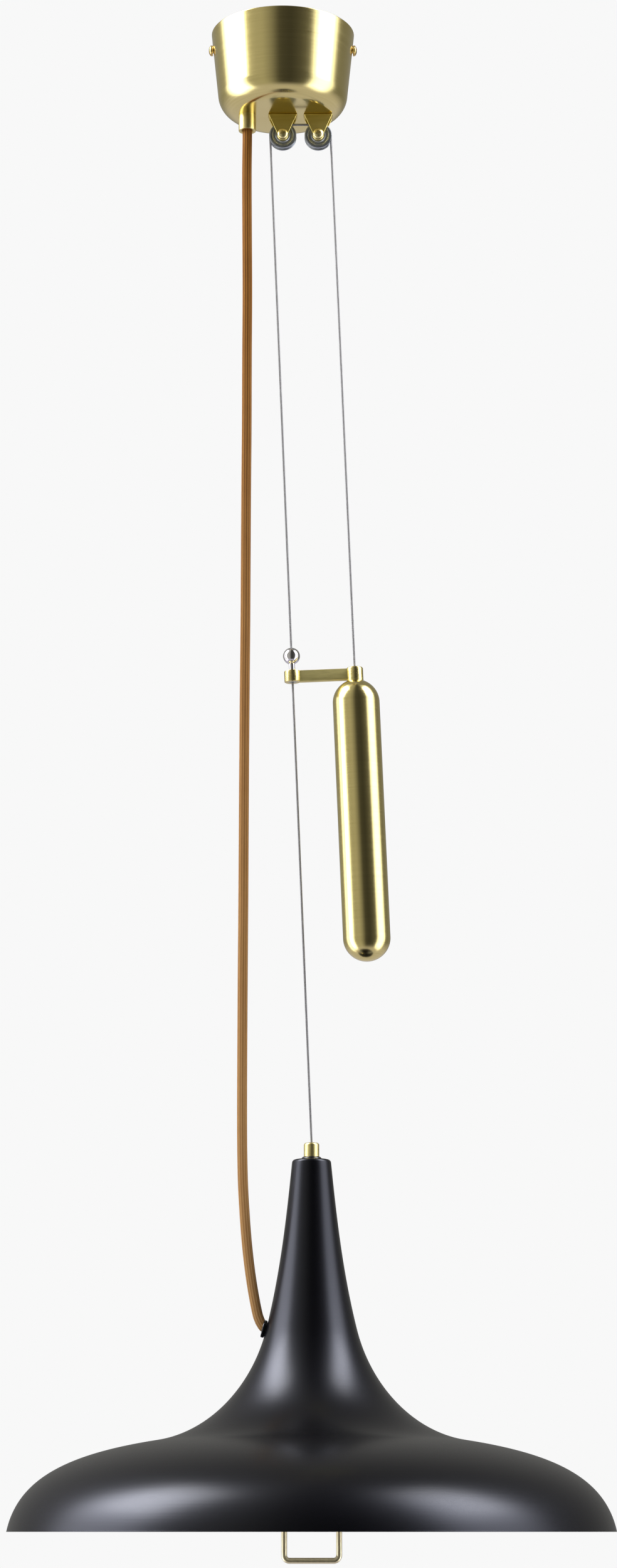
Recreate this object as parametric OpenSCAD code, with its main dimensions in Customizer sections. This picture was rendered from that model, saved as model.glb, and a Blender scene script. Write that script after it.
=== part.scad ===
// Rise and fall pendant lamp.
// A brass ceiling rose carries two pulleys. A thin wire runs from the shade over both pulleys
// to a brass counterweight, whose guide arm slides on the wire of the shade.
// The origin is the centre of the rose at the ceiling. +Z is up, +X is right, -Y is the front.

/* [Overall] */
// Height from the ceiling to the rim of the shade, at its lowest position
drop = 1080; // [950:10:1300]
// Sideways distance from the axis of the rose to the axis of the shade
shade_x = 21; // [12:1:30]
// Distance between the two pulleys, and from the cable gland to the left pulley
pitch = 26; // [24:0.5:28]

/* [Ceiling rose] */
// Outer radius of the rose at the ceiling
rose_r = 52.5; // [50:0.5:60]
// Height of the rose
rose_h = 63; // [55:1:75]
// Radius of the flat floor of the rose
rose_floor_r = 31.5; // [30:0.5:32]
// Radius of the rounded lower corner of the rose
rose_corner_r = 16; // [14:0.5:17]
// Wall of the rose
rose_wall = 1.2; // [0.8:0.1:2]

/* [Mounting strap] */
// Width of the strap on the ceiling
strap_w = 24; // [22:1:28]
// Thickness of the strap
strap_t = 2; // [1.5:0.1:3]
// Length of the ears that take the side screws
ear_h = 19; // [17:1:24]
// Distance between the two ceiling screw holes
ceiling_pitch = 60; // [54:1:66]
// Radius of the ceiling screw holes
ceiling_hole_r = 2.25; // [2:0.05:2.6]
// Radius of the hole for the supply cable
supply_hole_r = 6.5; // [5:0.5:7]
// Distance from the ceiling to the side screws
side_screw_z = 12; // [10:0.5:13]

/* [Terminal block] */
// Length of the block, across its three poles
block_l = 29; // [28:1:32]
// Width of the block
block_w = 15; // [14:1:15]
// Height of the block
block_h = 13; // [12:1:15]
// Distance between the poles
pole_pitch = 9; // [8.5:0.25:9.5]

/* [Cable gland] */
// Outer radius of the gland
gland_r = 6.4; // [6:0.1:7]
// Length of the gland below the rose
gland_h = 12.2; // [10:0.5:16]
// Radius of the bore of the gland
gland_bore_r = 4; // [3.9:0.1:4.2]
// Radius of the threaded neck of the gland
gland_neck_r = 5; // [4.8:0.1:5.5]

/* [Pulleys] */
// Distance from the floor of the rose to the pulley axles
axle_drop = 16.3; // [16:0.25:18]
// Radius of a wheel
wheel_r = 10; // [9.8:0.1:10.2]
// Width of a wheel
wheel_w = 6; // [5:0.25:7]
// Radius at which the middle of the wire runs round a wheel
wire_turn_r = 9.2; // [9:0.05:9.4]
// Radius of the dished face of a wheel
dish_r = 7.6; // [6.8:0.1:7.8]
// Depth of the dished face of a wheel
dish_depth = 0.9; // [0.5:0.1:1.4]
// Outer radius of the brass bush in a wheel
bush_r = 3.9; // [3.4:0.1:4.4]
// Width of a pulley bracket at the top
bracket_w = 21.2; // [20:0.2:22]
// Thickness of a bracket cheek
cheek_t = 1.2; // [0.8:0.1:1.5]
// Radius of the lower end of a cheek
cheek_tip_r = 3.3; // [3.2:0.1:5]
// Thickness of the web of a bracket
web_t = 1.5; // [1:0.1:1.8]

/* [Wire] */
// Radius of the steel wire
wire_r = 0.8; // [0.6:0.05:0.9]

/* [Counterweight] */
// Length of wire from the right pulley to the counterweight
weight_drop = 402; // [380:2:430]
// Radius of the counterweight
weight_r = 16.6; // [15.5:0.1:17]
// Length of the counterweight
weight_l = 202; // [180:2:220]
// Wall of the counterweight shell
weight_wall = 2; // [1.5:0.1:3]
// Free height inside the counterweight, between its steel core and the end of the wire
core_room = 4.4; // [1:0.2:60]
// Radius of the boss on the counterweight
boss_r = 5.9; // [5.6:0.1:6.5]
// Height of the guide arm
arm_h = 8; // [7:0.5:10]
// Thickness of the guide arm
arm_t = 5; // [4:0.25:6]
// Height of the boss above the guide arm
boss_rise = 0.9; // [0.5:0.1:2]
// Radius of the guide ring
ring_r = 5.75; // [5.2:0.1:6.5]
// Outer radius of the bush in the guide ring
guide_bush_r = 3; // [2.8:0.1:3.4]

/* [Ball stop] */
// Radius of the ball
ball_r = 6; // [5.5:0.25:7]
// Radius of the stem under the ball
ball_stem_r = 2.1; // [1.9:0.1:2.4]
// Height of the stem under the ball
ball_stem_h = 5.2; // [4:0.2:8]

/* [Shade] */
// Radius of the rim of the shade
rim_r = 205; // [185:5:225]
// Height of the shade
shade_h = 250.5; // [246:0.5:256]
// Radius of the top of the shade
neck_r = 13.5; // [13:0.1:14]
// Radius of the rounded edge at the top of the shade
neck_edge_r = 2.4; // [1.5:0.1:3]
// Wall of the shade
shade_wall = 0.75; // [0.6:0.05:1.2]
// Radius of the bead inside the rim
bead_r = 1.1; // [1:0.05:1.5]
// Radius of the neck where the flex goes in
flank_r = 31; // [30:0.5:32]
// Distance from the top of the shade down to the flex
flank_drop = 115.7; // [112:0.1:118]
// Radius where the flare turns into the dome
bend_r = 105; // [95:1:115]
// Height above the rim where the flare turns into the dome
bend_z = 60.5; // [56:0.5:64]

/* [Shade suspension] */
// Radius of the brass collar on the shade
collar_r = 5.3; // [5:0.1:6]
// Height of the brass collar
collar_h = 9.5; // [9.5:0.5:14]
// Radius of the washer under the collar
washer_r = 7.1; // [6.6:0.1:8]
// Height of the washer under the collar
washer_h = 2; // [1.2:0.2:3]
// Radius of the threaded hanger stud
stud_r = 3; // [2.8:0.1:3.1]

/* [Lampholder and bulb] */
// Outer radius of the lampholder
holder_r = 19.5; // [19:0.1:19.8]
// Distance from the top of the shade down to the mouth of the lampholder
holder_drop = 140.5; // [136:0.5:146]
// Radius of the bulb
bulb_r = 22.5; // [20:0.5:24]

/* [Pull handle] */
// Radius of the brass rod of the handle
rod_r = 2; // [1.8:0.05:2.2]
// Distance between the legs of the handle
handle_w = 37; // [32:1:40]
// Distance from the rim of the shade down to the middle of the lower bar
handle_drop = 19; // [16:1:26]
// Radius of the corners of the handle, at the middle of the rod
handle_bend_r = 3.6; // [3:0.2:5]
// Height of the cross bar above the rim
bar_z = 8; // [7.5:0.5:12]
// Thickness of the stirrup
stirrup_t = 1.5; // [1:0.1:2]

/* [Flex] */
// Radius of the braided flex
flex_r = 3.5; // [3.2:0.1:3.6]

/* [Hidden] */
$fn = 64;

// Clearances
thread_gap = 0.05;  // around a screw or a stud in its hole
run_gap = 0.05;     // around an axle in its bush
wire_gap = 0.3;     // round the wire in a groove or a guide
seat_gap = 0.2;     // between two pieces that meet but move apart
hole_gap = 0.3;     // around a screw in a clearance hole
side_gap = 0.25;    // beside a wheel or a bush between the cheeks

// Fasteners: metric sizes, radius of the thread, half of the width across flats and height
m3_r = 1.5;
m4_r = 2;
m4_head_r = 3.9;
m4_head_h = 2.9;
m4_low_head_h = 2.2;
m4_af = 7;
m4_nut_h = 3.2;
m4_washer_r = 4.5;
m4_washer_h = 0.8;
m4_spare = 1.5;     // thread that stands out of a nut
m6_af = 10;
m6_nut_h = 5;
gland_nut_af = 12;
gland_nut_h = 3;

// Colours
brass = "#b9a468";
brushed = "#b8a67a";
steel = "#9aa3ab";
chrome = "#c9c9cc";
black = "#1c1c20";
grey_wire = "#8f8a88";
braid = "#a8733f";
nylon = "#e8e6dc";

// Small vector helpers
function unit(v) = v / norm(v);
function tangent_point(p, c, r) =
  let (v = p - c, d = norm(v), a = atan2(v[1], v[0]) - acos(r / d)) c + r * [cos(a), sin(a)];
function bezier(p, t) =
  pow(1 - t, 3) * p[0] + 3 * t * pow(1 - t, 2) * p[1] + 3 * t * t * (1 - t) * p[2]
  + pow(t, 3) * p[3];
function bezier_dir(p, t) =
  unit((1 - t) * (1 - t) * (p[1] - p[0]) + 2 * t * (1 - t) * (p[2] - p[1]) + t * t * (p[3] - p[2]));
function arc(c, r, a0, a1, n) = [for (i = [0:n]) c + r * [cos(a0 + (a1 - a0) * i / n),
                                                          sin(a0 + (a1 - a0) * i / n)]];
function reversed(p) = [for (i = [len(p) - 1:-1:0]) p[i]];

// Ceiling rose: a tapered wall, tangent to the rounded corner
rose_c = [rose_floor_r, rose_corner_r - rose_h];
rose_tangent = tangent_point([rose_r, 0], rose_c, rose_corner_r);
rose_a = atan2(rose_tangent[1] - rose_c[1], rose_tangent[0] - rose_c[0]);
function rose_wall_r(z, off) =
  rose_c[0] + (rose_corner_r - off - (z - rose_c[1]) * sin(rose_a)) / cos(rose_a);
function rose_line(off) =
  concat([[rose_wall_r(0, off), 0]], arc(rose_c, rose_corner_r - off, rose_a, -90, 16),
         [[0, -rose_h + off]]);
rose_floor = -rose_h + rose_wall;    // upper face of the floor
gland_x = -pitch;

// Mounting strap: its ears stay inside the tapered wall
ear_clear = 0.4;
ear_x = sqrt(pow(rose_wall_r(-ear_h, rose_wall), 2) - pow(strap_w / 2, 2)) - ear_clear;
side_head_x = rose_wall_r(m4_head_r - side_screw_z, 0) + thread_gap;
side_screw_l = 11;

// Terminal block, beside the hole for the supply cable
block_x = -supply_hole_r - block_w / 2 - 1.5;
pole_z = -strap_t - 0.5 * block_h;
pole_hole_r = 1.5;
pole_screw_r = 1.7;
pole_screw_x = 4;
pole_screw_h = 3;
block_screw_y = pole_pitch / 2;
lead_r = 1.1;
lead_pitch = 2.3;
lead_sides = 6;

// Pulleys
axle_z = -rose_h - axle_drop;
cheek_gap = wheel_w + 4 * side_gap;                 // between the cheeks
cheek_y = cheek_gap / 2 + cheek_t;                  // outer face of a cheek
groove_r = wire_turn_r - wire_r - wire_gap;
groove_half = wire_r + wire_gap;
flange_edge = 0.4;
pulley_xs = [0, pitch];

// The wire leaves the left pulley, leans towards the shade and meets its collar
collar_top = shade_h + washer_h + collar_h;         // above the rim
wire_fall = axle_z - (collar_top - drop);
lean = asin(wire_turn_r / norm([wire_fall, shade_x])) + atan(shade_x / wire_fall);
lamp_start = [-wire_turn_r * cos(lean), 0, axle_z - wire_turn_r * sin(lean)];
weight_start = [pitch + wire_turn_r * cos(lean), 0, axle_z + wire_turn_r * sin(lean)];
lamp_run = norm([shade_x - lamp_start[0], lamp_start[2] - (collar_top - drop)]);
guide_x = pitch * cos(lean) + 2 * wire_turn_r;      // between the two stretches of wire
start_step = pitch * sin(lean);                     // one stretch starts higher than the other

// Counterweight, measured down its own wire
arm_top = -weight_drop - boss_rise;
arm_bottom = arm_top - arm_h;
weight_seat = weight_r - sqrt(weight_r * weight_r - boss_r * boss_r);
weight_top = arm_bottom - 0.1;                      // where the round top would end
boss_bottom = weight_top - weight_seat;
stud_top = -weight_drop - 2.6;
weight_stud_r = 4;
weight_stud_bore = wire_r + wire_gap;
weight_roof = 9;                                    // solid metal at the top of the shell
stud_bottom = weight_top - weight_roof - 1;
ferrule_r = 3;
ferrule_h = 6;
weight_join = weight_top - weight_l + weight_r;     // where the base screws on
spigot_h = 7;
core_gap = 0.2;

// Ball stop, measured down the wire of the shade
guide_top = arm_top - start_step;
stem_bottom = guide_top + seat_gap;
ball_z = stem_bottom + ball_stem_h + sqrt(ball_r * ball_r - ball_stem_r * ball_stem_r);
grub_l = 4;

// Shade outline, measured from the rim on the axis of the shade. Each curve starts and ends
// along a slope, and its pull says how far it holds that slope.
flank = [flank_r, shade_h - flank_drop];
bend = [bend_r, bend_z];
neck_start = [neck_r, shade_h - neck_edge_r];
neck_slope = [0.1, -1];
flank_slope = [0.25, -1];
bend_slope = [1, -0.155];
rim_slope = [0.2, -1];
neck_pull = 38;
flare_pull = 38;
bend_pull = 36;
dome_pull = 60;
rim_pull = 35;
neck_curve = [neck_start, neck_start + neck_pull * neck_slope, flank - neck_pull * flank_slope,
              flank];
flare_curve = [flank, flank + flare_pull * flank_slope, bend - bend_pull * bend_slope, bend];
dome_curve = [bend, bend + dome_pull * bend_slope, [rim_r, 0] - rim_pull * rim_slope, [rim_r, 0]];
curve_steps = 14;
function offset_curve(p, off, first) =
  [for (i = [first:curve_steps]) let (t = i / curve_steps, d = bezier_dir(p, t),
    q = bezier(p, t) + off * [d[1], -d[0]]) [q[0], max(q[1], 0)]];
function shade_line(off) =
  concat([[0, shade_h - off]],
         reversed(arc([neck_r - neck_edge_r, shade_h - neck_edge_r], neck_edge_r - off, 5.7, 90, 6)),
         offset_curve(neck_curve, off, 1), offset_curve(flare_curve, off, 1),
         offset_curve(dome_curve, off, 1));

// Grommet in the flank of the shade, square to the surface
flank_a = atan(-flank_slope[0] / flank_slope[1]);
grommet_r = 6;
grommet_out = 2.7;
grommet_neck_r = 5;
grommet_mouth_r = 5.4;
grommet_flange_r = 5.8;
grommet_flange_h = 1.5;
grommet_sag = grommet_flange_r * grommet_flange_r / (2 * flank[0]);
grommet_in = shade_wall + grommet_sag + 0.2;        // start of the inner flange
grommet_seat = 0.3;                                 // height of its face over the flank
clip_h = 2.5;
tail_l = grommet_in + grommet_flange_h + clip_h + 1.3;

// Suspension inside the shade
collar_base = shade_h + washer_h;
ferrule_top = collar_top - 2.5;
collar_ferrule_r = 2.3;
collar_ferrule_h = 3.2;
hanger_top = ferrule_top - collar_ferrule_h - 0.2;
shade_nut_top = shade_h - shade_wall;
hickey_drop = 36.5;
hickey_top = shade_h - hickey_drop;
hickey_plate = 4;
hickey_window = 24;
hickey_bottom = hickey_top - 2 * hickey_plate - hickey_window;
hickey_half = 11;
hickey_side = 2.5;
hickey_depth = 10;
nipple_r = 5;
nipple_bore = 3.5;
nipple_l = 20;
nipple_end = hickey_bottom + hickey_plate + 1 - nipple_l;

// Lampholder, from its mouth upwards
holder_z = shade_h - holder_drop;
holder_wall = 1.5;
holder_h = 42;
holder_top = hickey_bottom - 6;
ring_h = 6;
ring_z = holder_z + 2;
shoulder_z = ring_z + ring_h + stirrup_t;
insert_z = holder_z + 26;
insert_h = 14;
thread_r = 14.6;
thread_wall = 1;
contact_h = 2.4;
bulb_cap_r = 13.1;
bulb_cap_h = 23.5;
bulb_tip_h = 2.5;
bulb_cap_z = insert_z - contact_h - 0.1 - bulb_tip_h - bulb_cap_h;
bulb_z = bulb_cap_z - 26.5;                         // centre of the globe
bulb_wall = 1;

// Stirrup that carries the handle
stirrup_x = 29;
stirrup_w = 10;
plate_r = 24.5;
leg_top = bar_z + stirrup_t + m4_nut_h + m4_spare;

// Free flex, from the gland to the grommet, as points [x, z] on the plane through the wires
flex_points = [
  [-26, -66], [-26, -82], [-26.2, -110], [-25.9, -150], [-25.5, -200], [-25.6, -250],
  [-25.6, -300], [-25.8, -350], [-25.9, -400], [-26, -450], [-26.3, -500], [-26.5, -550],
  [-26.6, -600], [-26.7, -650], [-26.9, -700], [-27, -750], [-27, -790], [-26.8, -820],
  [-26.2, -845], [-25, -866], [-23.4, -886], [-21.2, -905], [-18.6, -922], [-15.9, -937.3],
  [-12.6, -945.2]
];
flex_sides = 10;
flex_ring = 18;                                     // least distance between two rings
head_top = -46;

// Tube of n sides along 3-D points, with square ends
module tube(path, r, n, ref = [0, 1, 0]) {
  m = len(path);
  dirs = [for (i = [0:m - 1]) unit(path[min(i + 1, m - 1)] - path[max(i - 1, 0)])];
  rings = [for (i = [0:m - 1]) let (u = unit(cross(dirs[i], ref)), v = cross(u, dirs[i]))
    for (k = [0:n - 1]) path[i] + r * (cos(360 * k / n) * u + sin(360 * k / n) * v)];
  sides = [for (i = [0:m - 2]) for (k = [0:n - 1])
    let (a = i * n + k, b = i * n + (k + 1) % n)
    for (f = [[a, b, b + n], [a, b + n, a + n]]) f];
  first = [for (k = [n - 1:-1:0]) k];
  last = [for (k = [0:n - 1]) (m - 1) * n + k];
  polyhedron(points = rings, faces = concat([first, last], sides));
}

// Points on a smooth curve through a route, split so that rings lie about flex_ring apart
function route_point(p, i, t) =
  let (a = p[max(i - 1, 0)], b = p[i], c = p[i + 1], d = p[min(i + 2, len(p) - 1)])
  0.5 * (2 * b + t * (c - a) + t * t * (2 * a - 5 * b + 4 * c - d)
         + t * t * t * (3 * b - a - 3 * c + d));
function smooth_route(p) =
  concat([for (i = [0:len(p) - 2]) let (n = max(1, round(norm(p[i + 1] - p[i]) / flex_ring)))
    for (k = [0:n - 1]) route_point(p, i, k / n)], [p[len(p) - 1]]);

// Pan head screw with a cross recess: the head stands on z = 0 and the shank points down
module pan_screw(r, length, head_r, head_h) {
  slot = head_r * 0.22;
  difference() {
    union() {
      rotate_extrude() polygon([[0, 0], [head_r, 0], [head_r, head_h * 0.4],
                                [head_r * 0.86, head_h * 0.75], [head_r * 0.5, head_h * 0.97],
                                [0, head_h]]);
      translate([0, 0, -length]) cylinder(r = r, h = length + head_h / 3);
    }
    for (a = [0, 90]) rotate([0, 0, a])
      translate([-head_r * 0.5, -slot / 2, head_h * 0.5]) cube([head_r, slot, head_h]);
  }
}

// Hexagon nut on z = 0, with its bore
module hex_nut(af, h, r) {
  difference() {
    cylinder(r = af / sqrt(3), h = h, $fn = 6);
    translate([0, 0, -1]) cylinder(r = r + thread_gap, h = h + 2);
  }
}

// Frames of the two stretches of wire and of the shade
module on_lamp_wire() { translate(lamp_start) rotate([0, -lean, 0]) children(); }
module on_weight_wire() { translate(weight_start) rotate([0, -lean, 0]) children(); }
module on_shade() { translate([shade_x, 0, -drop]) children(); }
module on_flank() { translate([-flank[0], 0, flank[1]]) rotate([0, flank_a - 90, 0]) children(); }

// ---- Ceiling rose ----

module mounting_strap() {
  color(steel) difference() {
    union() {
      translate([-ear_x, -strap_w / 2, -strap_t]) cube([2 * ear_x, strap_w, strap_t]);
      for (s = [-1, 1])
        translate([s * (ear_x - strap_t / 2) - strap_t / 2, -strap_w / 2, -ear_h])
          cube([strap_t, strap_w, ear_h - strap_t / 2]);
    }
    translate([0, 0, -strap_t - 1]) cylinder(r = supply_hole_r, h = strap_t + 2);
    for (s = [-1, 1]) {
      translate([s * ceiling_pitch / 2, 0, -strap_t - 1])
        cylinder(r = ceiling_hole_r, h = strap_t + 2);
      translate([s * (ear_x - strap_t / 2), 0, -side_screw_z]) rotate([0, 90, 0])
        cylinder(r = m4_r + thread_gap, h = strap_t + 2, center = true);
    }
    translate([block_x, block_screw_y, -strap_t - 1])
      cylinder(r = m3_r + thread_gap, h = strap_t + 2);
  }
}

module canopy() {
  color(brushed) difference() {
    rotate_extrude($fn = 96) polygon(concat(rose_line(0), reversed(rose_line(rose_wall))));
    for (s = [-1, 1])
      translate([s * rose_r, 0, -side_screw_z]) rotate([0, 90, 0])
        cylinder(r = m4_r + hole_gap, h = 20, center = true);
    translate([gland_x, 0, -rose_h - 1]) cylinder(r = gland_neck_r + thread_gap, h = 5);
    for (x = pulley_xs) translate([x, 0, -rose_h - 1]) cylinder(r = m4_r + hole_gap, h = 5);
  }
}

module canopy_screws() {
  color(brass) for (s = [-1, 1])
    translate([s * side_head_x, 0, -side_screw_z]) rotate([0, s * 90, 0])
      pan_screw(m4_r, side_screw_l, m4_head_r, m4_head_h);
}

module cable_gland() {
  edge = 0.4;
  neck_top = rose_floor + gland_nut_h + 1;
  color(brass) translate([gland_x, 0, 0]) rotate_extrude() polygon([
    [gland_bore_r, -rose_h - gland_h], [gland_r - edge, -rose_h - gland_h],
    [gland_r, -rose_h - gland_h + edge], [gland_r, -rose_h], [gland_neck_r, -rose_h],
    [gland_neck_r, neck_top], [gland_bore_r, neck_top]]);
}

module gland_nut() {
  color(brass) translate([gland_x, 0, rose_floor + thread_gap]) rotate([0, 0, 30])
    hex_nut(gland_nut_af, gland_nut_h, gland_neck_r);
}

module cord_grip() {
  color(nylon) translate([gland_x, 0, rose_floor - 2]) difference() {
    cylinder(r = gland_bore_r, h = gland_nut_h + 3);
    translate([0, 0, -1]) cylinder(r = flex_r + thread_gap, h = gland_nut_h + 5);
  }
}

module flex_head() {
  color(braid) translate([gland_x, 0, flex_points[0][1]])
    cylinder(r = flex_r, h = head_top - flex_points[0][1]);
}

module terminal_block() {
  color(nylon) difference() {
    translate([block_x - block_w / 2, -block_l / 2, -strap_t - block_h])
      cube([block_w, block_l, block_h]);
    for (k = [-1:1]) {
      translate([block_x, k * pole_pitch, pole_z]) rotate([0, 90, 0])
        cylinder(r = pole_hole_r, h = block_w + 2, center = true);
      for (s = [-1, 1])
        translate([block_x + s * pole_screw_x, k * pole_pitch, -strap_t - block_h - 1])
          cylinder(r = pole_screw_r + thread_gap, h = 1 + block_h / 2);
    }
    translate([block_x, block_screw_y, -strap_t - block_h - 1])
      cylinder(r = m3_r + thread_gap, h = block_h + 2);
  }
}

module terminal_screws() {
  color(steel) for (k = [-1:1]) for (s = [-1, 1])
    translate([block_x + s * pole_screw_x, k * pole_pitch, pole_z - pole_hole_r - pole_screw_h])
      difference() {
        cylinder(r = pole_screw_r, h = pole_screw_h);
        translate([-pole_screw_r, -0.25, -1]) cube([2 * pole_screw_r, 0.5, 1.8]);
      }
}

module block_screw() {
  color(steel) translate([block_x, block_screw_y, -strap_t - block_h]) rotate([180, 0, 0])
    pan_screw(m3_r, block_h + strap_t, 2.1, 1.8);
}

module rose_leads() {
  face = block_x - block_w / 2;
  shades = ["#7a4a2a", "#3a6ea5", "#8aa83a"];
  for (k = [-1:1]) color(shades[k + 1])
    tube([[gland_x, k * lead_pitch, head_top + thread_gap], [gland_x, k * lead_pitch, head_top + 2],
          [gland_x - 1, k * 2.8, head_top + 7],
          [gland_x - 4, k * 4.5, head_top + 15], [face - 9, k * 7, pole_z - 12],
          [face - 9, k * pole_pitch, pole_z - 5], [face - 7, k * pole_pitch, pole_z - 1.2],
          [face - 3.5, k * pole_pitch, pole_z], [face + 1, k * pole_pitch, pole_z],
          [face + 3, k * pole_pitch, pole_z]], lead_r, lead_sides);
}

// ---- Pulleys ----

module pulley_bracket(x) {
  tip = [0, -axle_drop];
  corner = tangent_point([bracket_w / 2, 0], tip, cheek_tip_r);
  translate([x, 0, -rose_h]) difference() {
    union() {
      for (s = [-1, 1])
        translate([0, s * (cheek_gap + cheek_t) / 2, 0]) rotate([90, 0, 0])
          linear_extrude(height = cheek_t, center = true) union() {
            polygon([[-bracket_w / 2, 0], [bracket_w / 2, 0], corner, tip, [-corner[0], corner[1]]]);
            translate(tip) circle(r = cheek_tip_r);
          }
      translate([-bracket_w / 2, -cheek_y + 0.1, -web_t]) cube([bracket_w, 2 * cheek_y - 0.2, web_t]);
    }
    translate([0, 0, -axle_drop]) rotate([90, 0, 0])
      cylinder(r = m4_r + thread_gap, h = 4 * cheek_y, center = true);
    translate([0, 0, -web_t - 1]) cylinder(r = m4_r + hole_gap, h = web_t + 2);
  }
}
module pulley_bracket_left() { color(brass) pulley_bracket(pulley_xs[0]); }
module pulley_bracket_right() { color(brass) pulley_bracket(pulley_xs[1]); }

module bracket_screws() {
  grip = web_t + rose_wall + m4_washer_h + m4_nut_h + m4_spare;
  color(brass) for (x = pulley_xs)
    translate([x, 0, -rose_h - web_t]) rotate([180, 0, 0])
      pan_screw(m4_r, grip, cheek_gap / 2 - 0.1, m4_low_head_h);
}

module bracket_nuts() {
  color(steel) for (x = pulley_xs) translate([x, 0, rose_floor]) {
    difference() {
      cylinder(r = m4_washer_r, h = m4_washer_h);
      translate([0, 0, -1]) cylinder(r = m4_r + thread_gap, h = m4_washer_h + 2);
    }
    translate([0, 0, m4_washer_h]) hex_nut(m4_af, m4_nut_h, m4_r);
  }
}

module axle_screws() {
  length = 2 * cheek_y + m4_nut_h + m4_spare;
  color(brass) for (x = pulley_xs)
    translate([x, -cheek_y, axle_z]) rotate([90, 0, 0])
      pan_screw(m4_r, length, m4_head_r, m4_head_h);
}

module axle_nuts() {
  color(brass) for (x = pulley_xs)
    translate([x, cheek_y, axle_z]) rotate([-90, 0, 0]) hex_nut(m4_af, m4_nut_h, m4_r);
}

module pulley(x) {
  w = wheel_w / 2;
  web = w - dish_depth;
  half = [[bush_r, web], [dish_r - 0.6, web], [dish_r, w], [wheel_r - flange_edge, w],
          [wheel_r, w - flange_edge], [wheel_r, groove_half + 0.5], [groove_r, groove_half]];
  other = [for (p = reversed(half)) [p[0], -p[1]]];
  translate([x, 0, axle_z]) rotate([90, 0, 0]) rotate_extrude() polygon(concat(half, other));
}
module pulley_left() { color(steel) pulley(pulley_xs[0]); }
module pulley_right() { color(steel) pulley(pulley_xs[1]); }

module pulley_bush(x) {
  translate([x, 0, axle_z]) rotate([90, 0, 0]) difference() {
    cylinder(r = bush_r, h = wheel_w + 2 * side_gap, center = true);
    cylinder(r = m4_r + run_gap, h = 2 * wheel_w, center = true);
  }
}
module pulley_bush_left() { color(brass) pulley_bush(pulley_xs[0]); }
module pulley_bush_right() { color(brass) pulley_bush(pulley_xs[1]); }

module wire_over_pulleys() {
  left = concat([0, 2], [for (i = [1:9]) i * (90 + lean) / 9]);
  right = concat([0, 2], [for (i = [1:9]) i * (90 - lean) / 9]);
  path = concat(
    [for (t = left) let (a = 180 + lean - t) [wire_turn_r * cos(a), 0, axle_z + wire_turn_r * sin(a)]],
    [for (t = reversed(right)) let (a = lean + t)
      [pitch + wire_turn_r * cos(a), 0, axle_z + wire_turn_r * sin(a)]]);
  color(grey_wire) tube(path, wire_r, 12);
}

// ---- Counterweight ----

module guide_arm() {
  edge = 1.4;
  color(brass) on_weight_wire() difference() {
    union() {
      rotate_extrude() polygon(concat([[0, boss_bottom], [boss_r, boss_bottom]],
        arc([boss_r - edge, -weight_drop - edge], edge, 0, 90, 6), [[0, -weight_drop]]));
      translate([-guide_x, -arm_t / 2, arm_bottom]) cube([guide_x, arm_t, arm_h]);
      translate([-guide_x, 0, arm_bottom]) cylinder(r = ring_r, h = arm_h);
    }
    translate([-guide_x, 0, arm_bottom - 1]) cylinder(r = guide_bush_r, h = arm_h + 2);
    translate([0, 0, -weight_drop - 5]) cylinder(r = wire_r + wire_gap, h = 10);
    translate([0, 0, boss_bottom - 1])
      cylinder(r = weight_stud_r + thread_gap, h = stud_top - boss_bottom + 1);
  }
}

module guide_bush() {
  color(nylon) on_weight_wire() translate([-guide_x, 0, arm_bottom]) difference() {
    cylinder(r = guide_bush_r, h = arm_h);
    translate([0, 0, -1]) cylinder(r = wire_r + wire_gap, h = arm_h + 2);
  }
}

module weight_stud() {
  color(steel) on_weight_wire() translate([0, 0, stud_bottom]) difference() {
    cylinder(r = weight_stud_r, h = stud_top - stud_bottom - 0.1);
    translate([0, 0, -1]) cylinder(r = weight_stud_bore, h = stud_top - stud_bottom + 2);
  }
}

module weight_ferrule() {
  color(steel) on_weight_wire() translate([0, 0, stud_bottom - ferrule_h]) difference() {
    cylinder(r = ferrule_r, h = ferrule_h);
    translate([0, 0, -1]) cylinder(r = wire_r + thread_gap, h = ferrule_h + 2);
  }
}

module weight_shell() {
  cavity_r = weight_r - weight_wall;
  color(brushed) on_weight_wire() difference() {
    rotate_extrude($fn = 96) polygon(concat(
      [[0, boss_bottom]], reversed(arc([0, weight_top - weight_r], weight_r, 0,
        acos(boss_r / weight_r), 16)), [[weight_r, weight_join], [0, weight_join]]));
    translate([0, 0, weight_join - 1])
      cylinder(r = cavity_r, h = weight_top - weight_roof - weight_join + 1);
    translate([0, 0, weight_top - weight_roof - 1])
      cylinder(r = weight_stud_r + thread_gap, h = weight_roof + 2);
  }
}

module weight_base() {
  cavity_r = weight_r - weight_wall;
  color(brushed) on_weight_wire() rotate_extrude($fn = 96) polygon(concat(
    [[0, weight_join + spigot_h], [cavity_r - thread_gap, weight_join + spigot_h],
     [cavity_r - thread_gap, weight_join]],
    arc([0, weight_join], weight_r, 0, -90, 24)));
}

module weight_core() {
  bottom = weight_join + spigot_h;
  color("#55585c") on_weight_wire() translate([0, 0, bottom])
    cylinder(r = weight_r - weight_wall - core_gap, h = stud_bottom - ferrule_h - core_room - bottom);
}

module weight_wire() {
  bottom = stud_bottom - ferrule_h;
  color(grey_wire) on_weight_wire() translate([0, 0, bottom])
    cylinder(r = wire_r, h = -bottom, $fn = 24);
}

// ---- Wire and ball stop of the shade ----

module lamp_wire() {
  color(grey_wire) on_lamp_wire() translate([0, 0, ball_z])
    cylinder(r = wire_r, h = -ball_z, $fn = 24);
}

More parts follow.
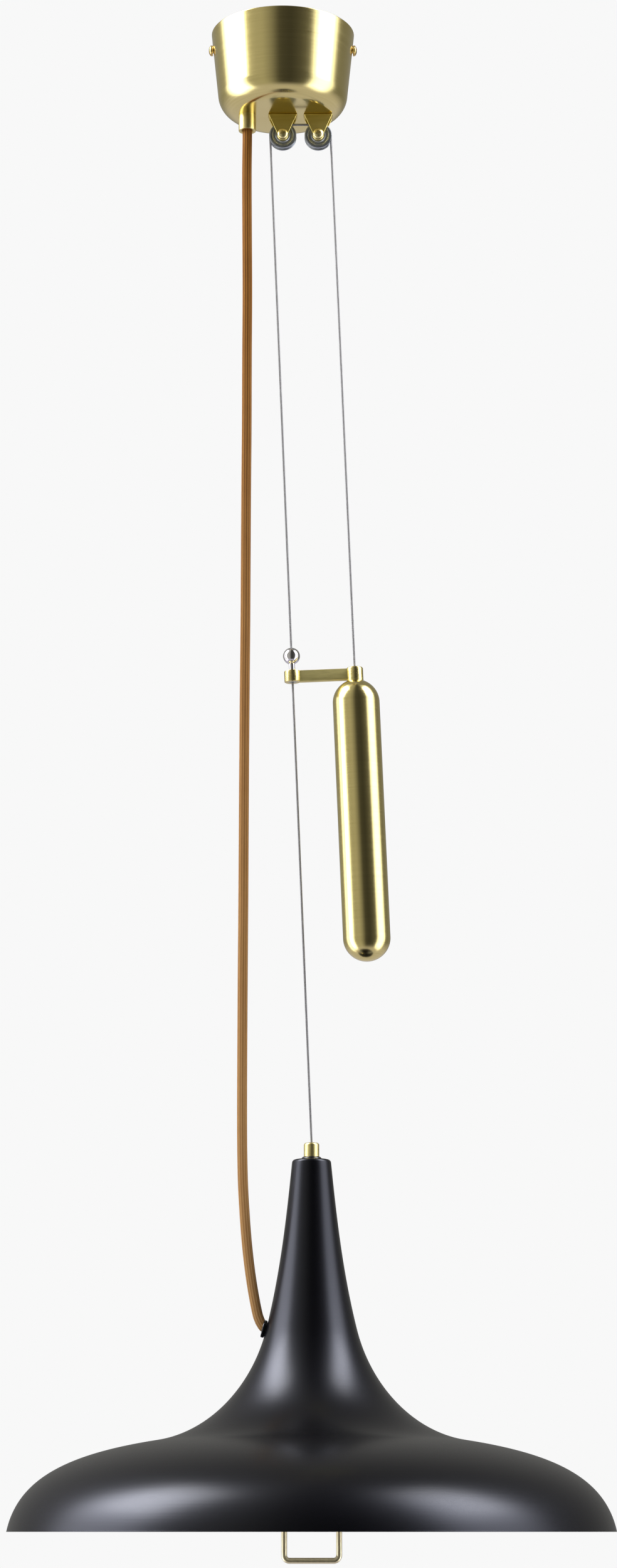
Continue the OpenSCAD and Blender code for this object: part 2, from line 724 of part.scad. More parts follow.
module ball_stop() {
  color(chrome) on_lamp_wire() difference() {
    union() {
      translate([0, 0, ball_z]) sphere(r = ball_r);
      translate([0, 0, stem_bottom]) cylinder(r = ball_stem_r, h = ball_z - stem_bottom);
    }
    translate([0, 0, stem_bottom - 1]) cylinder(r = wire_r + thread_gap, h = 4 * ball_r);
    translate([0, 0, ball_z]) rotate([-90, 0, 0])
      cylinder(r = m3_r + thread_gap, h = 2 * ball_r);
  }
}

module ball_grub_screw() {
  start = wire_r + thread_gap;
  color(steel) on_lamp_wire() translate([0, start, ball_z]) rotate([-90, 0, 0]) difference() {
    cylinder(r = m3_r, h = grub_l);
    translate([0, 0, grub_l - 1.5]) cylinder(r = 0.85, h = 2, $fn = 6);
  }
}

module lamp_wire_lower() {
  end = lamp_run + 5;
  color(grey_wire) on_lamp_wire() translate([0, 0, -end])
    cylinder(r = wire_r, h = end + ball_z, $fn = 24);
}

// ---- Suspension of the shade ----

module wire_collar() {
  edge = 1.8;
  color(brass) on_shade() difference() {
    rotate_extrude() polygon(concat([[0, collar_base], [collar_r, collar_base]],
      arc([collar_r - edge, collar_top - edge], edge, 0, 90, 6), [[0, collar_top]]));
    translate([0, 0, collar_base]) cylinder(r = wire_r + 2 * wire_gap, h = 2 * collar_h);
    translate([0, 0, collar_base - 1])
      cylinder(r = stud_r + thread_gap, h = ferrule_top - collar_base + 1);
  }
}

module collar_ferrule() {
  color(steel) on_shade() translate([0, 0, ferrule_top - collar_ferrule_h]) difference() {
    cylinder(r = collar_ferrule_r, h = collar_ferrule_h);
    translate([0, 0, -1]) cylinder(r = wire_r + wire_gap, h = collar_ferrule_h + 2);
  }
}

module top_washer() {
  color(black) on_shade() difference() {
    rotate_extrude() polygon(concat([[0, shade_h], [washer_r, shade_h]],
      arc([washer_r - washer_h, shade_h], washer_h, 10, 90, 6), [[0, shade_h + washer_h]]));
    translate([0, 0, shade_h - 1]) cylinder(r = stud_r + thread_gap, h = washer_h + 2);
  }
}

module hanger_stud() {
  color(steel) on_shade() translate([0, 0, hickey_top - hickey_plate])
    cylinder(r = stud_r, h = hanger_top - hickey_top + hickey_plate);
}

module shade_nut() {
  color(steel) on_shade() translate([0, 0, shade_nut_top - m6_nut_h])
    hex_nut(m6_af, m6_nut_h, stud_r);
}

module shade() {
  color(black) on_shade() difference() {
    union() {
      rotate_extrude($fn = 128) polygon(concat(shade_line(0), reversed(shade_line(shade_wall))));
      rotate_extrude($fn = 128) translate([rim_r - bead_r, bead_r]) circle(r = bead_r, $fn = 24);
    }
    translate([0, 0, shade_h - 5]) cylinder(r = stud_r + thread_gap, h = 10);
    on_flank() cylinder(r = grommet_neck_r + thread_gap, h = 12, center = true);
  }
}

module grommet() {
  color(black) on_shade() on_flank() rotate_extrude() polygon([
    [flex_r + thread_gap, -0.8], [grommet_mouth_r, grommet_out], [grommet_r - 0.4, grommet_out],
    [grommet_r, grommet_out - 0.4], [grommet_r, grommet_seat], [grommet_neck_r, grommet_seat],
    [grommet_neck_r, -grommet_in], [grommet_flange_r, -grommet_in],
    [grommet_flange_r, -grommet_in - grommet_flange_h],
    [flex_r + thread_gap, -grommet_in - grommet_flange_h]]);
}

module flex() {
  color(braid) tube([for (p = smooth_route(flex_points)) [p[0], 0, p[1]]], flex_r, flex_sides);
}

module flex_tail() {
  color(braid) on_shade() on_flank() translate([0, 0, -tail_l]) cylinder(r = flex_r, h = tail_l);
}

module tail_clip() {
  color(nylon) on_shade() on_flank() translate([0, 0, -grommet_in - grommet_flange_h - clip_h])
    difference() {
      cylinder(r = grommet_flange_r, h = clip_h);
      translate([0, 0, -1]) cylinder(r = flex_r + thread_gap, h = clip_h + 2);
    }
}

module lamp_leads() {
  along = [cos(flank_a), -sin(flank_a)];
  start = [-flank[0], flank[1]] + (tail_l + thread_gap) * along;
  turn = start + 1.5 * along;
  shades = ["#7a4a2a", "#3a6ea5", "#8aa83a"];
  window = hickey_bottom + hickey_plate + hickey_window / 2;
  x = -holder_r - 2;
  reach = hickey_depth / 2;
  for (k = [-1:1]) color(shades[k + 1]) on_shade()
    tube([[start[0], k * lead_pitch, start[1]], [turn[0], k * lead_pitch, turn[1]],
          [x, k * lead_pitch, start[1] + 2], [x, k * lead_pitch, start[1] + 6],
          [x, k * lead_pitch, holder_top - 10], [x + 2, k * lead_pitch, holder_top - 4],
          [-reach - 9, k * lead_pitch, hickey_bottom], [-reach - 3, k * lead_pitch, window - 4],
          [-reach + 1.5, k * lead_pitch, window], [-0.8, k * lead_pitch, window - 1.5],
          [0, k * lead_pitch, window - 6], [0, k * lead_pitch, hickey_bottom],
          [0, k * lead_pitch, nipple_end - 1],
          [0, k * 2.2 * lead_pitch, insert_z + insert_h + 6],
          [0, k * 2.35 * lead_pitch, insert_z + insert_h + 0.1]], lead_r, lead_sides);
}

module hickey() {
  color(steel) on_shade() difference() {
    union() {
      for (z = [hickey_bottom, hickey_top - hickey_plate])
        translate([-hickey_depth / 2, -hickey_half, z])
          cube([hickey_depth, 2 * hickey_half, hickey_plate]);
      for (s = [-1, 1])
        translate([-hickey_depth / 2, s * (hickey_half - hickey_side / 2) - hickey_side / 2,
                   hickey_bottom])
          cube([hickey_depth, hickey_side, hickey_top - hickey_bottom]);
      translate([0, 0, hickey_bottom]) cylinder(r = nipple_r + 1.6, h = hickey_plate);
    }
    translate([0, 0, hickey_top - hickey_plate - 1])
      cylinder(r = stud_r + thread_gap, h = hickey_plate + 2);
    translate([0, 0, hickey_bottom - 1])
      cylinder(r = nipple_r + thread_gap, h = hickey_plate + 2);
  }
}

module nipple() {
  color(brass) on_shade() translate([0, 0, nipple_end])
    difference() {
      cylinder(r = nipple_r, h = nipple_l);
      translate([0, 0, -1]) cylinder(r = nipple_bore, h = nipple_l + 2);
    }
}

// ---- Lampholder ----

module holder_cap() {
  base = holder_z + holder_h;
  w = holder_wall;
  bore = nipple_r + thread_gap;
  color(black) on_shade() rotate_extrude() polygon([
    [bore, holder_top], [9, holder_top], [holder_r - 2.5, holder_top - 6],
    [holder_r, holder_top - 10], [holder_r, base], [holder_r - w, base],
    [holder_r - w, holder_top - 10.4], [holder_r - 3.3, holder_top - 7.2],
    [8.4, holder_top - w], [bore, holder_top - w]]);
}

module holder_body() {
  outer = holder_r - thread_gap;
  inner = holder_r - holder_wall;
  top = holder_z + holder_h - thread_gap;
  color(black) on_shade() rotate_extrude() polygon([
    [inner, holder_z], [outer, holder_z], [outer, shoulder_z], [holder_r + 2, shoulder_z],
    [holder_r + 2, shoulder_z + 2], [outer, shoulder_z + 4], [outer, top], [inner, top]]);
}

module holder_insert() {
  color(nylon) on_shade() translate([0, 0, insert_z])
    cylinder(r = holder_r - holder_wall - thread_gap, h = insert_h);
}

module holder_thread() {
  color(brass) on_shade() translate([0, 0, holder_z + 1]) difference() {
    cylinder(r = thread_r, h = insert_z - holder_z - 1);
    translate([0, 0, -1]) cylinder(r = thread_r - thread_wall, h = insert_z - holder_z + 1);
  }
}

module holder_contact() {
  color(brass) on_shade() translate([0, 0, insert_z - contact_h]) cylinder(r = 4, h = contact_h);
}

module holder_ring() {
  color(black) on_shade() translate([0, 0, ring_z]) difference() {
    cylinder(r = holder_r + 3.5, h = ring_h);
    translate([0, 0, -1]) cylinder(r = holder_r, h = ring_h + 2);
  }
}

module bulb_glass() {
  neck_a = 50;
  function line(off) = concat(
    arc([0, bulb_z], bulb_r - off, -90, neck_a, 24), [[bulb_cap_r - off, bulb_cap_z]]);
  color("white") on_shade()
    rotate_extrude() polygon(concat(line(0), reversed(line(bulb_wall))));
}

module bulb_cap() {
  w = 0.6;
  top = bulb_cap_h + bulb_tip_h;
  color(steel) on_shade() translate([0, 0, bulb_cap_z]) rotate_extrude() polygon([
    [bulb_cap_r, 0], [bulb_cap_r, bulb_cap_h - 2], [6, bulb_cap_h], [4.5, bulb_cap_h],
    [4.5, top], [0, top], [0, top - 1], [3.5, top - 1], [3.5, bulb_cap_h - 1], [6, bulb_cap_h - 1],
    [bulb_cap_r - w, bulb_cap_h - 2 - w], [bulb_cap_r - w, 0]]);
}

// ---- Pull handle ----

module handle_stirrup() {
  color(steel) on_shade() difference() {
    union() {
      translate([0, 0, ring_z + ring_h]) cylinder(r = plate_r, h = stirrup_t);
      translate([-stirrup_x, -stirrup_w / 2, ring_z + ring_h])
        cube([2 * stirrup_x, stirrup_w, stirrup_t]);
      for (s = [-1, 1])
        translate([s * (stirrup_x - stirrup_t / 2) - stirrup_t / 2, -stirrup_w / 2, bar_z])
          cube([stirrup_t, stirrup_w, ring_z + ring_h - bar_z + stirrup_t / 2]);
      translate([-stirrup_x, -stirrup_w / 2, bar_z]) cube([2 * stirrup_x, stirrup_w, stirrup_t]);
    }
    translate([0, 0, ring_z + ring_h - 1]) cylinder(r = holder_r + 0.2, h = stirrup_t + 2);
    for (s = [-1, 1]) translate([s * handle_w / 2, 0, bar_z - 1])
      cylinder(r = rod_r + 0.1, h = stirrup_t + 2);
  }
}

module pull_handle() {
  low = -handle_drop;
  color(brass) on_shade() {
    for (s = [-1, 1]) {
      translate([s * handle_w / 2, 0, low + handle_bend_r])
        cylinder(r = rod_r, h = leg_top - low - handle_bend_r, $fn = 32);
      translate([s * (handle_w / 2 - handle_bend_r), 0, low + handle_bend_r])
        rotate([90, 0, 0]) rotate([0, 0, s > 0 ? -90 : 180])
          rotate_extrude(angle = 90) translate([handle_bend_r, 0]) circle(r = rod_r, $fn = 32);
    }
    translate([-handle_w / 2 + handle_bend_r, 0, low]) rotate([0, 90, 0])
      cylinder(r = rod_r, h = handle_w - 2 * handle_bend_r, $fn = 32);
  }
}

module handle_nuts() {
  color(steel) on_shade() for (s = [-1, 1]) for (z = [bar_z - m4_nut_h, bar_z + stirrup_t])
    translate([s * handle_w / 2, 0, z]) hex_nut(m4_af, m4_nut_h, rod_r);
}

mounting_strap();
canopy();
canopy_screws();
cable_gland();
gland_nut();
cord_grip();
terminal_block();
terminal_screws();
block_screw();
flex_head();
rose_leads();
pulley_bracket_left();
pulley_bracket_right();
bracket_screws();
bracket_nuts();
axle_screws();
axle_nuts();
wire_over_pulleys();
pulley_left();
pulley_bush_left();
pulley_right();
pulley_bush_right();
guide_arm();
guide_bush();
weight_stud();
weight_ferrule();
weight_shell();
weight_base();
weight_core();
weight_wire();
lamp_wire();
ball_stop();
ball_grub_screw();
lamp_wire_lower();
wire_collar();
collar_ferrule();
top_washer();
hanger_stud();
shade_nut();
shade();
grommet();
flex();
flex_tail();
tail_clip();
lamp_leads();
hickey();
nipple();
holder_cap();
holder_body();
holder_insert();
holder_thread();
holder_contact();
holder_ring();
bulb_glass();
bulb_cap();
handle_stirrup();
pull_handle();
handle_nuts();
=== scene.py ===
"""Looks of the rise and fall pendant lamp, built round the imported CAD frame."""

from math import acos, asin, atan, cos, degrees, hypot, pi, radians, sin, sqrt, tan

import bmesh
import bpy
from mathutils import Matrix, Vector


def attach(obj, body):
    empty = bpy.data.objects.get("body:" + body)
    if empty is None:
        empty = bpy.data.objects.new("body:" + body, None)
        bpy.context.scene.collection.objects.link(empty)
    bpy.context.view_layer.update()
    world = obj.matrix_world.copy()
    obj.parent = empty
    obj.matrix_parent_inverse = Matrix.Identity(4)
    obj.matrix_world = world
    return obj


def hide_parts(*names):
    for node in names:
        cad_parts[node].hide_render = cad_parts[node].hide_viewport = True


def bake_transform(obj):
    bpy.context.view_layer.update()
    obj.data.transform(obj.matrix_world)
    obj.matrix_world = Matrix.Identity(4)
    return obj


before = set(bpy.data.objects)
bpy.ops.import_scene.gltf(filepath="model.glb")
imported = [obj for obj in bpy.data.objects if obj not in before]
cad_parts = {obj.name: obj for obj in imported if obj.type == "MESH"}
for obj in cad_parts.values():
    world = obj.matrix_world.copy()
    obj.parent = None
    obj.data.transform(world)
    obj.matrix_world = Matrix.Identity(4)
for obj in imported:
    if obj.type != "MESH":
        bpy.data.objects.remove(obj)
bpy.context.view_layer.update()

MM = 0.001

# Sizes of the part's source, in millimetres
DROP, SHADE_X, PITCH = 1080, 21, 26
ROSE_R, ROSE_H, ROSE_FLOOR_R, ROSE_CORNER_R, ROSE_WALL = 52.5, 63, 31.5, 16, 1.2
GLAND_R, GLAND_BORE_R, GLAND_H = 6.4, 4, 12.2
AXLE_DROP, WHEEL_R, WHEEL_W, WIRE_TURN_R = 16.3, 10, 6, 9.2
DISH_R, DISH_DEPTH, BUSH_R = 7.6, 0.9, 3.9
CHEEK_OUT, SIDE_SCREW_Z = 4.7, 12
M4_R, M4_HEAD_R, M4_HEAD_H, M4_NUT_H, M4_SPARE = 2, 3.9, 2.9, 3.2, 1.5
WIRE_R, FLEX_R = 0.8, 3.5
WEIGHT_DROP, WEIGHT_R, WEIGHT_L = 402, 16.6, 202
BOSS_R, BOSS_RISE, ARM_H, ARM_T, RING_R, GUIDE_BORE_R = 5.9, 0.9, 8, 5, 5.75, 3
BALL_R, BALL_STEM_R, BALL_STEM_H = 6, 2.1, 5.2
RIM_R, SHADE_H, NECK_R, NECK_EDGE_R, SHADE_WALL, BEAD_R = 205, 250.5, 13.5, 2.4, 0.75, 1.1
FLANK, BEND = (31, 134.8), (105, 60.5)
COLLAR_R, COLLAR_H, WASHER_R, WASHER_H = 5.3, 9.5, 7.1, 2
ROD_R, HANDLE_W, HANDLE_DROP, HANDLE_BEND_R, LEG_TOP = 2, 37, 19, 3.6, 14.2
SEAT_GAP, WIRE_GAP, THREAD_GAP = 0.2, 0.3, 0.05

AXLE_Z = -ROSE_H - AXLE_DROP
COLLAR_TOP = SHADE_H + WASHER_H + COLLAR_H
FALL = AXLE_Z - (COLLAR_TOP - DROP)
LEAN = asin(WIRE_TURN_R / hypot(FALL, SHADE_X)) + atan(SHADE_X / FALL)


def mm(x, y, z):
    """A point of the source as a vector in metres."""
    return Vector((x, y, z)) * MM


def leaning(start):
    """Local frame of a stretch of wire: its z axis runs up along the wire."""
    return Matrix.Translation(start) @ Matrix.Rotation(-LEAN, 4, "Y")


LAMP_START = mm(-WIRE_TURN_R * cos(LEAN), 0, AXLE_Z - WIRE_TURN_R * sin(LEAN))
WEIGHT_START = mm(PITCH + WIRE_TURN_R * cos(LEAN), 0, AXLE_Z + WIRE_TURN_R * sin(LEAN))
LAMP_FRAME, WEIGHT_FRAME = leaning(LAMP_START), leaning(WEIGHT_START)
SHADE_FRAME = Matrix.Translation(mm(SHADE_X, 0, -DROP))
LAMP_RUN = (mm(SHADE_X, 0, COLLAR_TOP - DROP) - LAMP_START).length / MM
GUIDE_X = PITCH * cos(LEAN) + 2 * WIRE_TURN_R
ARM_TOP = -WEIGHT_DROP - BOSS_RISE
ARM_BOTTOM = ARM_TOP - ARM_H
STEM_BOTTOM = ARM_TOP - PITCH * sin(LEAN) + SEAT_GAP
BALL_Z = STEM_BOTTOM + BALL_STEM_H + sqrt(BALL_R**2 - BALL_STEM_R**2)


def linked(name, data, matrix=None):
    """A new object in the scene."""
    o = bpy.data.objects.new(name, data)
    bpy.context.scene.collection.objects.link(o)
    if matrix is not None:
        o.matrix_world = matrix
    return o


# ---- Camera: at the height of the rim, tilted up, as in the photograph ----

EYE = mm(18.9, -2399.28, -1080.26)
TILT = 12.1196

camera = linked("camera", bpy.data.cameras.new("camera"))
camera.location = EYE
camera.rotation_euler = (radians(90 + TILT), 0, 0)
camera.data.lens, camera.data.sensor_width = 80, 36
camera.data.clip_end = 100
bpy.context.scene.camera = camera


# ---- Node helpers, for a material or the world ----


def add(m, kind, **values):
    """A new node. A value goes to the input of that name, or else to the node's own setting."""
    node = m.node_tree.nodes.new(kind)
    for k, v in values.items():
        if k in node.inputs:
            node.inputs[k].default_value = v
        else:
            setattr(node, k, v)
    return node


def wire_up(m, *pairs):
    """Links each output to its input."""
    for a, b in pairs:
        m.node_tree.links.new(a, b)


def maths(m, operation, a, b=None):
    """A sum on one or two values, each a number or the output of a node."""
    n = add(m, "ShaderNodeMath", operation=operation)
    for socket, value in zip(n.inputs, (a, b)):
        if isinstance(value, (int, float)):
            socket.default_value = value
        elif value is not None:
            wire_up(m, (value, socket))
    return n.outputs[0]


def mixed(m, fac, a, b):
    """A mix of two shaders."""
    n = add(m, "ShaderNodeMixShader")
    wire_up(m, (fac, n.inputs["Fac"]), (a, n.inputs[1]), (b, n.inputs[2]))
    return n.outputs[0]


# ---- Materials ----


def principled(m):
    return m.node_tree.nodes["Principled BSDF"]


def new_material(name, base, rough, metallic=0.0, **sockets):
    """A plain material, with values for sockets whose names have an underscore for a space."""
    m = bpy.data.materials.new(name)
    m.use_nodes = True
    shader = principled(m)
    shader.inputs["Base Color"].default_value = (*base, 1)
    shader.inputs["Roughness"].default_value = rough
    shader.inputs["Metallic"].default_value = metallic
    for socket, value in sockets.items():
        shader.inputs[socket.replace("_", " ")].default_value = value
    m.diffuse_color = (*base, 1)
    return m


def noise(m, scale, detail=3.0):
    """Noise with so many spots per metre along each axis of the object."""
    place = add(m, "ShaderNodeTexCoord")
    mapping = add(m, "ShaderNodeMapping", Scale=scale)
    n = add(m, "ShaderNodeTexNoise", Scale=1.0, Detail=detail, Roughness=0.6)
    wire_up(
        m,
        (place.outputs["Object"], mapping.inputs["Vector"]),
        (mapping.outputs["Vector"], n.inputs["Vector"]),
    )
    return n.outputs["Fac"]


def spread(m, fac, low, high, centre=0.5, width=0.25):
    """Maps a noise value round its centre to the range low to high."""
    r = add(m, "ShaderNodeMapRange")
    for name, value in zip(
        ("From Min", "From Max", "To Min", "To Max"),
        (centre - width, centre + width, low, high),
    ):
        r.inputs[name].default_value = value
    wire_up(m, (fac, r.inputs["Value"]))
    return r.outputs["Result"]


def blended(m, fac, a, b):
    """A mix of two colours, each a tuple or the output of a node."""
    mix = add(m, "ShaderNodeMix", data_type="RGBA")
    for socket, colour in zip((mix.inputs[6], mix.inputs[7]), (a, b)):
        if isinstance(colour, tuple):
            socket.default_value = (*colour, 1)
        else:
            wire_up(m, (colour, socket))
    wire_up(m, (fac, mix.inputs["Factor"]))
    return mix.outputs[2]


def tint(m, fac, dark, light):
    """Colours the material between two colours."""
    wire_up(m, (blended(m, fac, dark, light), principled(m).inputs["Base Color"]))


def bump(m, height, strength, distance):
    """Raises the surface by a height, in metres where it is 1."""
    b = add(m, "ShaderNodeBump", Strength=strength, Distance=distance)
    wire_up(
        m, (height, b.inputs["Height"]), (b.outputs["Normal"], principled(m).inputs["Normal"])
    )


def rough_from(m, value):
    wire_up(m, (value, principled(m).inputs["Roughness"]))


def grained(name, dark, light, rough, scale, grain=0.05, depth=0.00003):
    """A metal whose grain runs along the axes with a small scale."""
    m = new_material(name, light, rough, 1.0)
    fine = noise(m, scale, 4.0)
    rough_from(m, spread(m, fine, rough - grain, rough + grain))
    tint(m, spread(m, fine, 0, 1, width=0.3), dark, light)
    bump(m, fine, 0.25, depth)
    return m


BRASS_LIGHT, BRASS_DARK = (0.79, 0.67, 0.29), (0.70, 0.58, 0.23)
brushed_brass = grained(
    "brushed_brass", BRASS_DARK, BRASS_LIGHT, 0.19, (30, 30, 2200), grain=0.03, depth=0.000006
)
turned_brass = grained(
    "turned_brass", BRASS_DARK, BRASS_LIGHT, 0.34, (60, 60, 2500), grain=0.03, depth=0.000003
)
cast_brass = grained(
    "cast_brass", (0.66, 0.54, 0.2), (0.78, 0.66, 0.28), 0.27, (600, 600, 600), depth=0.000008
)
bar_brass = grained(
    "bar_brass", (0.60, 0.52, 0.2), (0.80, 0.70, 0.3), 0.5, (120, 120, 1500), depth=0.00002
)
screw_brass = grained(
    "screw_brass", (0.8, 0.68, 0.3), (0.88, 0.77, 0.4), 0.33, (500, 500, 500), depth=0.000002
)
side_brass = grained(
    "side_brass", (0.55, 0.38, 0.13), (0.72, 0.52, 0.2), 0.27, (500, 500, 500), depth=0.000002
)
sheet_brass = grained(
    "sheet_brass", (0.70, 0.56, 0.15), (0.84, 0.69, 0.22), 0.42, (60, 60, 2000), depth=0.00001
)
rod_brass = grained("rod_brass", (0.66, 0.58, 0.36), (0.78, 0.69, 0.45), 0.33, (700, 700, 250))
zinc = grained(
    "zinc", (0.44, 0.475, 0.50), (0.60, 0.635, 0.66), 0.33, (500, 500, 500),
    grain=0.04, depth=0.000004,
)
steel = grained("steel", (0.45, 0.46, 0.47), (0.62, 0.63, 0.64), 0.35, (300, 300, 900))
core_steel = grained("core_steel", (0.2, 0.2, 0.21), (0.3, 0.3, 0.31), 0.5, (300, 300, 900))
bulb_metal = grained("bulb_metal", (0.6, 0.6, 0.6), (0.75, 0.75, 0.74), 0.3, (200, 200, 3000))
chrome = new_material("chrome", (0.72, 0.70, 0.70), 0.06, 1.0)
bump(chrome, noise(chrome, (150, 150, 150)), 0.1, 0.00002)


SPINNING_MARKS = (12, 12, 900)


def coated(name, base, rough, size, depth, spun=0.0, **sockets):
    """A coat of paint or moulded plastic with a fine skin. On spun metal the rings that the
    spinning leaves show through it."""
    m = new_material(name, base, rough, **sockets)
    skin = noise(m, (size, size, size), 2.0)
    rough_from(m, spread(m, skin, rough - 0.03, rough + 0.03))
    tint(m, skin, tuple(c * 0.85 for c in base), tuple(c * 1.12 for c in base))
    if spun:
        marks = maths(m, "MULTIPLY", noise(m, SPINNING_MARKS), spun)
        skin = maths(m, "ADD", marks, skin)
    bump(m, skin, 0.3, depth)
    return m


shade_black = coated(
    "shade_black", (0.0012, 0.001, 0.0026), 0.31, 1100, 0.000012, spun=6,
    Specular_IOR_Level=0.36, Specular_Tint=(0.90, 0.92, 1, 1),
)
shade_white = coated("shade_white", (0.82, 0.81, 0.78), 0.5, 900, 0.00002)
washer_black = coated("washer_black", (0.012, 0.012, 0.014), 0.25, 900, 0.00001)
holder_black = coated("holder_black", (0.02, 0.02, 0.02), 0.45, 1500, 0.00004)
nylon = coated("nylon", (0.78, 0.77, 0.72), 0.45, 900, 0.00003)
rubber = coated("rubber", (0.006, 0.006, 0.007), 0.16, 500, 0.00002)
opal = coated("opal", (0.86, 0.86, 0.83), 0.12, 300, 0.000005)

# Wire rope: the strands are in the mesh, the fine wires in the pattern
rope = new_material("rope", (0.45, 0.44, 0.435), 0.45, 0.2)
rope_grain = noise(rope, (5000, 5000, 900), 2.0)
tint(rope, spread(rope, rope_grain, 0, 1), (0.22, 0.215, 0.21), (0.55, 0.54, 0.535))
bump(rope, rope_grain, 0.4, 0.00003)


TUBE_MAP = "turns"


def woven(name, upper, lower, shade_to_light_z, shade_to_light_by, threads, pitch, ribs):
    """Braid of two sets of threads, wound both ways round a tube with a map of turn and metres,
    over lengthwise ribs. Its dark and light colour go from an upper pair, darker as painted shade
    near the rose, to a lower pair, lighter as painted light toward the shade, round a height in
    metres."""
    m = new_material(
        name, upper[1], 0.75, Sheen_Weight=0.08, Sheen_Roughness=0.4,
        Sheen_Tint=(1, 0.72, 0.42, 1), Specular_IOR_Level=0.25,
    )

    def calc(operation, a, b=None):
        return maths(m, operation, a, b)

    uv = add(m, "ShaderNodeUVMap", uv_map=TUBE_MAP)
    split = add(m, "ShaderNodeSeparateXYZ")
    wire_up(m, (uv.outputs["UV"], split.inputs["Vector"]))
    turn = calc("MULTIPLY", split.outputs["X"], 2 * pi * threads)
    along = calc("MULTIPLY", split.outputs["Y"], 2 * pi / pitch)
    one = calc("SINE", calc("ADD", along, turn))
    two = calc("SINE", calc("SUBTRACT", along, turn))
    height = calc("MAXIMUM", one, two)
    fibre = noise(m, (2500, 2500, 2500))
    patch = noise(m, (60, 60, 25), 2.0)
    # Random tone of fibres and patches, with painted shade: the grooves of the weave and between
    # the ribs are darker, the raised threads lighter.
    tone_and_groove_shade = calc("ADD", calc("MULTIPLY", height, 0.2), calc("MULTIPLY", fibre, 0.7))
    rib = calc("SINE", calc("MULTIPLY", split.outputs["X"], 2 * pi * ribs))
    tone_and_groove_shade = calc("SUBTRACT", tone_and_groove_shade, calc("MULTIPLY", rib, 0.5))
    tone_and_groove_shade = calc("ADD", tone_and_groove_shade, calc("MULTIPLY", calc("SUBTRACT", patch, 0.5), 0.5))
    tone_and_groove_shade = spread(m, tone_and_groove_shade, 0, 1, width=0.42)
    place = add(m, "ShaderNodeTexCoord")
    parts = add(m, "ShaderNodeSeparateXYZ")
    wire_up(m, (place.outputs["Object"], parts.inputs["Vector"]))
    # Painted light: the braid is darker high up, as painted shade near the rose, and lighter low
    # down, as painted light toward the shade.
    shade_to_light = spread(m, parts.outputs["Z"], 0, 1, centre=shade_to_light_z, width=shade_to_light_by)
    tint(m, shade_to_light, blended(m, tone_and_groove_shade, *lower), blended(m, tone_and_groove_shade, *upper))
    bump(m, calc("ADD", height, calc("MULTIPLY", fibre, 0.4)), 0.6, 0.00012)
    return m


braid = woven(
    "braid",
    # The upper pair is painted shade near the rose, the lower pair painted light toward the
    # shade.
    upper=((0.22, 0.075, 0.008), (0.60, 0.26, 0.045)),
    lower=((0.76, 0.36, 0.12), (1.0, 0.64, 0.28)),
    shade_to_light_z=-0.62, shade_to_light_by=0.4, threads=18, pitch=0.0012, ribs=12,
)
lead_brown = coated("lead_brown", (0.18, 0.07, 0.03), 0.4, 900, 0.00001)


# ---- Mesh makers ----


def new_mesh(name, verts, faces, material):
    mesh = bpy.data.meshes.new(name)
    mesh.from_pydata([tuple(v) for v in verts], [], faces)
    mesh.materials.append(material)
    return mesh


def mesh_of(bm, name, material):
    """The mesh of a bmesh, which is freed."""
    mesh = bpy.data.meshes.new(name)
    bm.to_mesh(mesh)
    bm.free()
    mesh.materials.append(material)
    return mesh


def smoothen(mesh, smooth=True):
    mesh.polygons.foreach_set("use_smooth", [smooth] * len(mesh.polygons))


def sharpen(mesh, angle=180):
    """Turns all faces outward, and marks edges steeper than the angle as sharp."""
    bm = bmesh.new()
    bm.from_mesh(mesh)
    bmesh.ops.recalc_face_normals(bm, faces=bm.faces)
    for e in bm.edges:
        e.smooth = not (len(e.link_faces) == 2 and e.calc_face_angle(0) > radians(angle))
    bm.to_mesh(mesh)
    bm.free()


def lathe(name, profile, material, matrix=None, steps=64, sharp=50, closed=True):
    """Turns a profile of (radius, height) points in millimetres round the local z axis. Edges
    steeper than the sharp angle, in degrees, stay crisp."""
    verts, rings = [], []
    for r, z in profile:
        if r < 1e-6:
            rings.append([len(verts)])
            verts.append((0, 0, z * MM))
        else:
            rings.append(list(range(len(verts), len(verts) + steps)))
            verts += [
                (r * MM * cos(2 * pi * k / steps), r * MM * sin(2 * pi * k / steps), z * MM)
                for k in range(steps)
            ]
    faces = []
    pairs = list(zip(rings, rings[1:]))
    if closed:
        pairs.append((rings[-1], rings[0]))
    for a, b in pairs:
        if len(a) == 1 and len(b) == 1:
            continue
        for k in range(steps):
            n = (k + 1) % steps
            if len(a) == 1:
                faces.append((a[0], b[n], b[k]))
            elif len(b) == 1:
                faces.append((a[k], a[n], b[0]))
            else:
                faces.append((a[k], a[n], b[n], b[k]))
    mesh = new_mesh(name, verts, faces, material)
    mesh.validate()
    smoothen(mesh)
    sharpen(mesh, sharp)
    return linked(name, mesh, matrix)


def arc(cx, cz, r, a0, a1, n):
    """Points of an arc in n steps, between two angles in degrees."""
    angles = [radians(a0 + (a1 - a0) * i / n) for i in range(n + 1)]
    return [(cx + r * cos(a), cz + r * sin(a)) for a in angles]


def bezier(p, n, off):
    """Points of a cubic curve in n steps, without its first, moved sideways by off."""
    out = []
    for i in range(1, n + 1):
        t = i / n
        a, b, c, d = (1 - t) ** 3, 3 * t * (1 - t) ** 2, 3 * t * t * (1 - t), t**3
        x, z = (a * p[0][k] + b * p[1][k] + c * p[2][k] + d * p[3][k] for k in (0, 1))
        dx, dz = (
            (1 - t) ** 2 * (p[1][k] - p[0][k])
            + 2 * t * (1 - t) * (p[2][k] - p[1][k])
            + t * t * (p[3][k] - p[2][k])
            for k in (0, 1)
        )
        length = hypot(dx, dz)
        out.append((x + off * dz / length, max(z - off * dx / length, 0)))
    return out


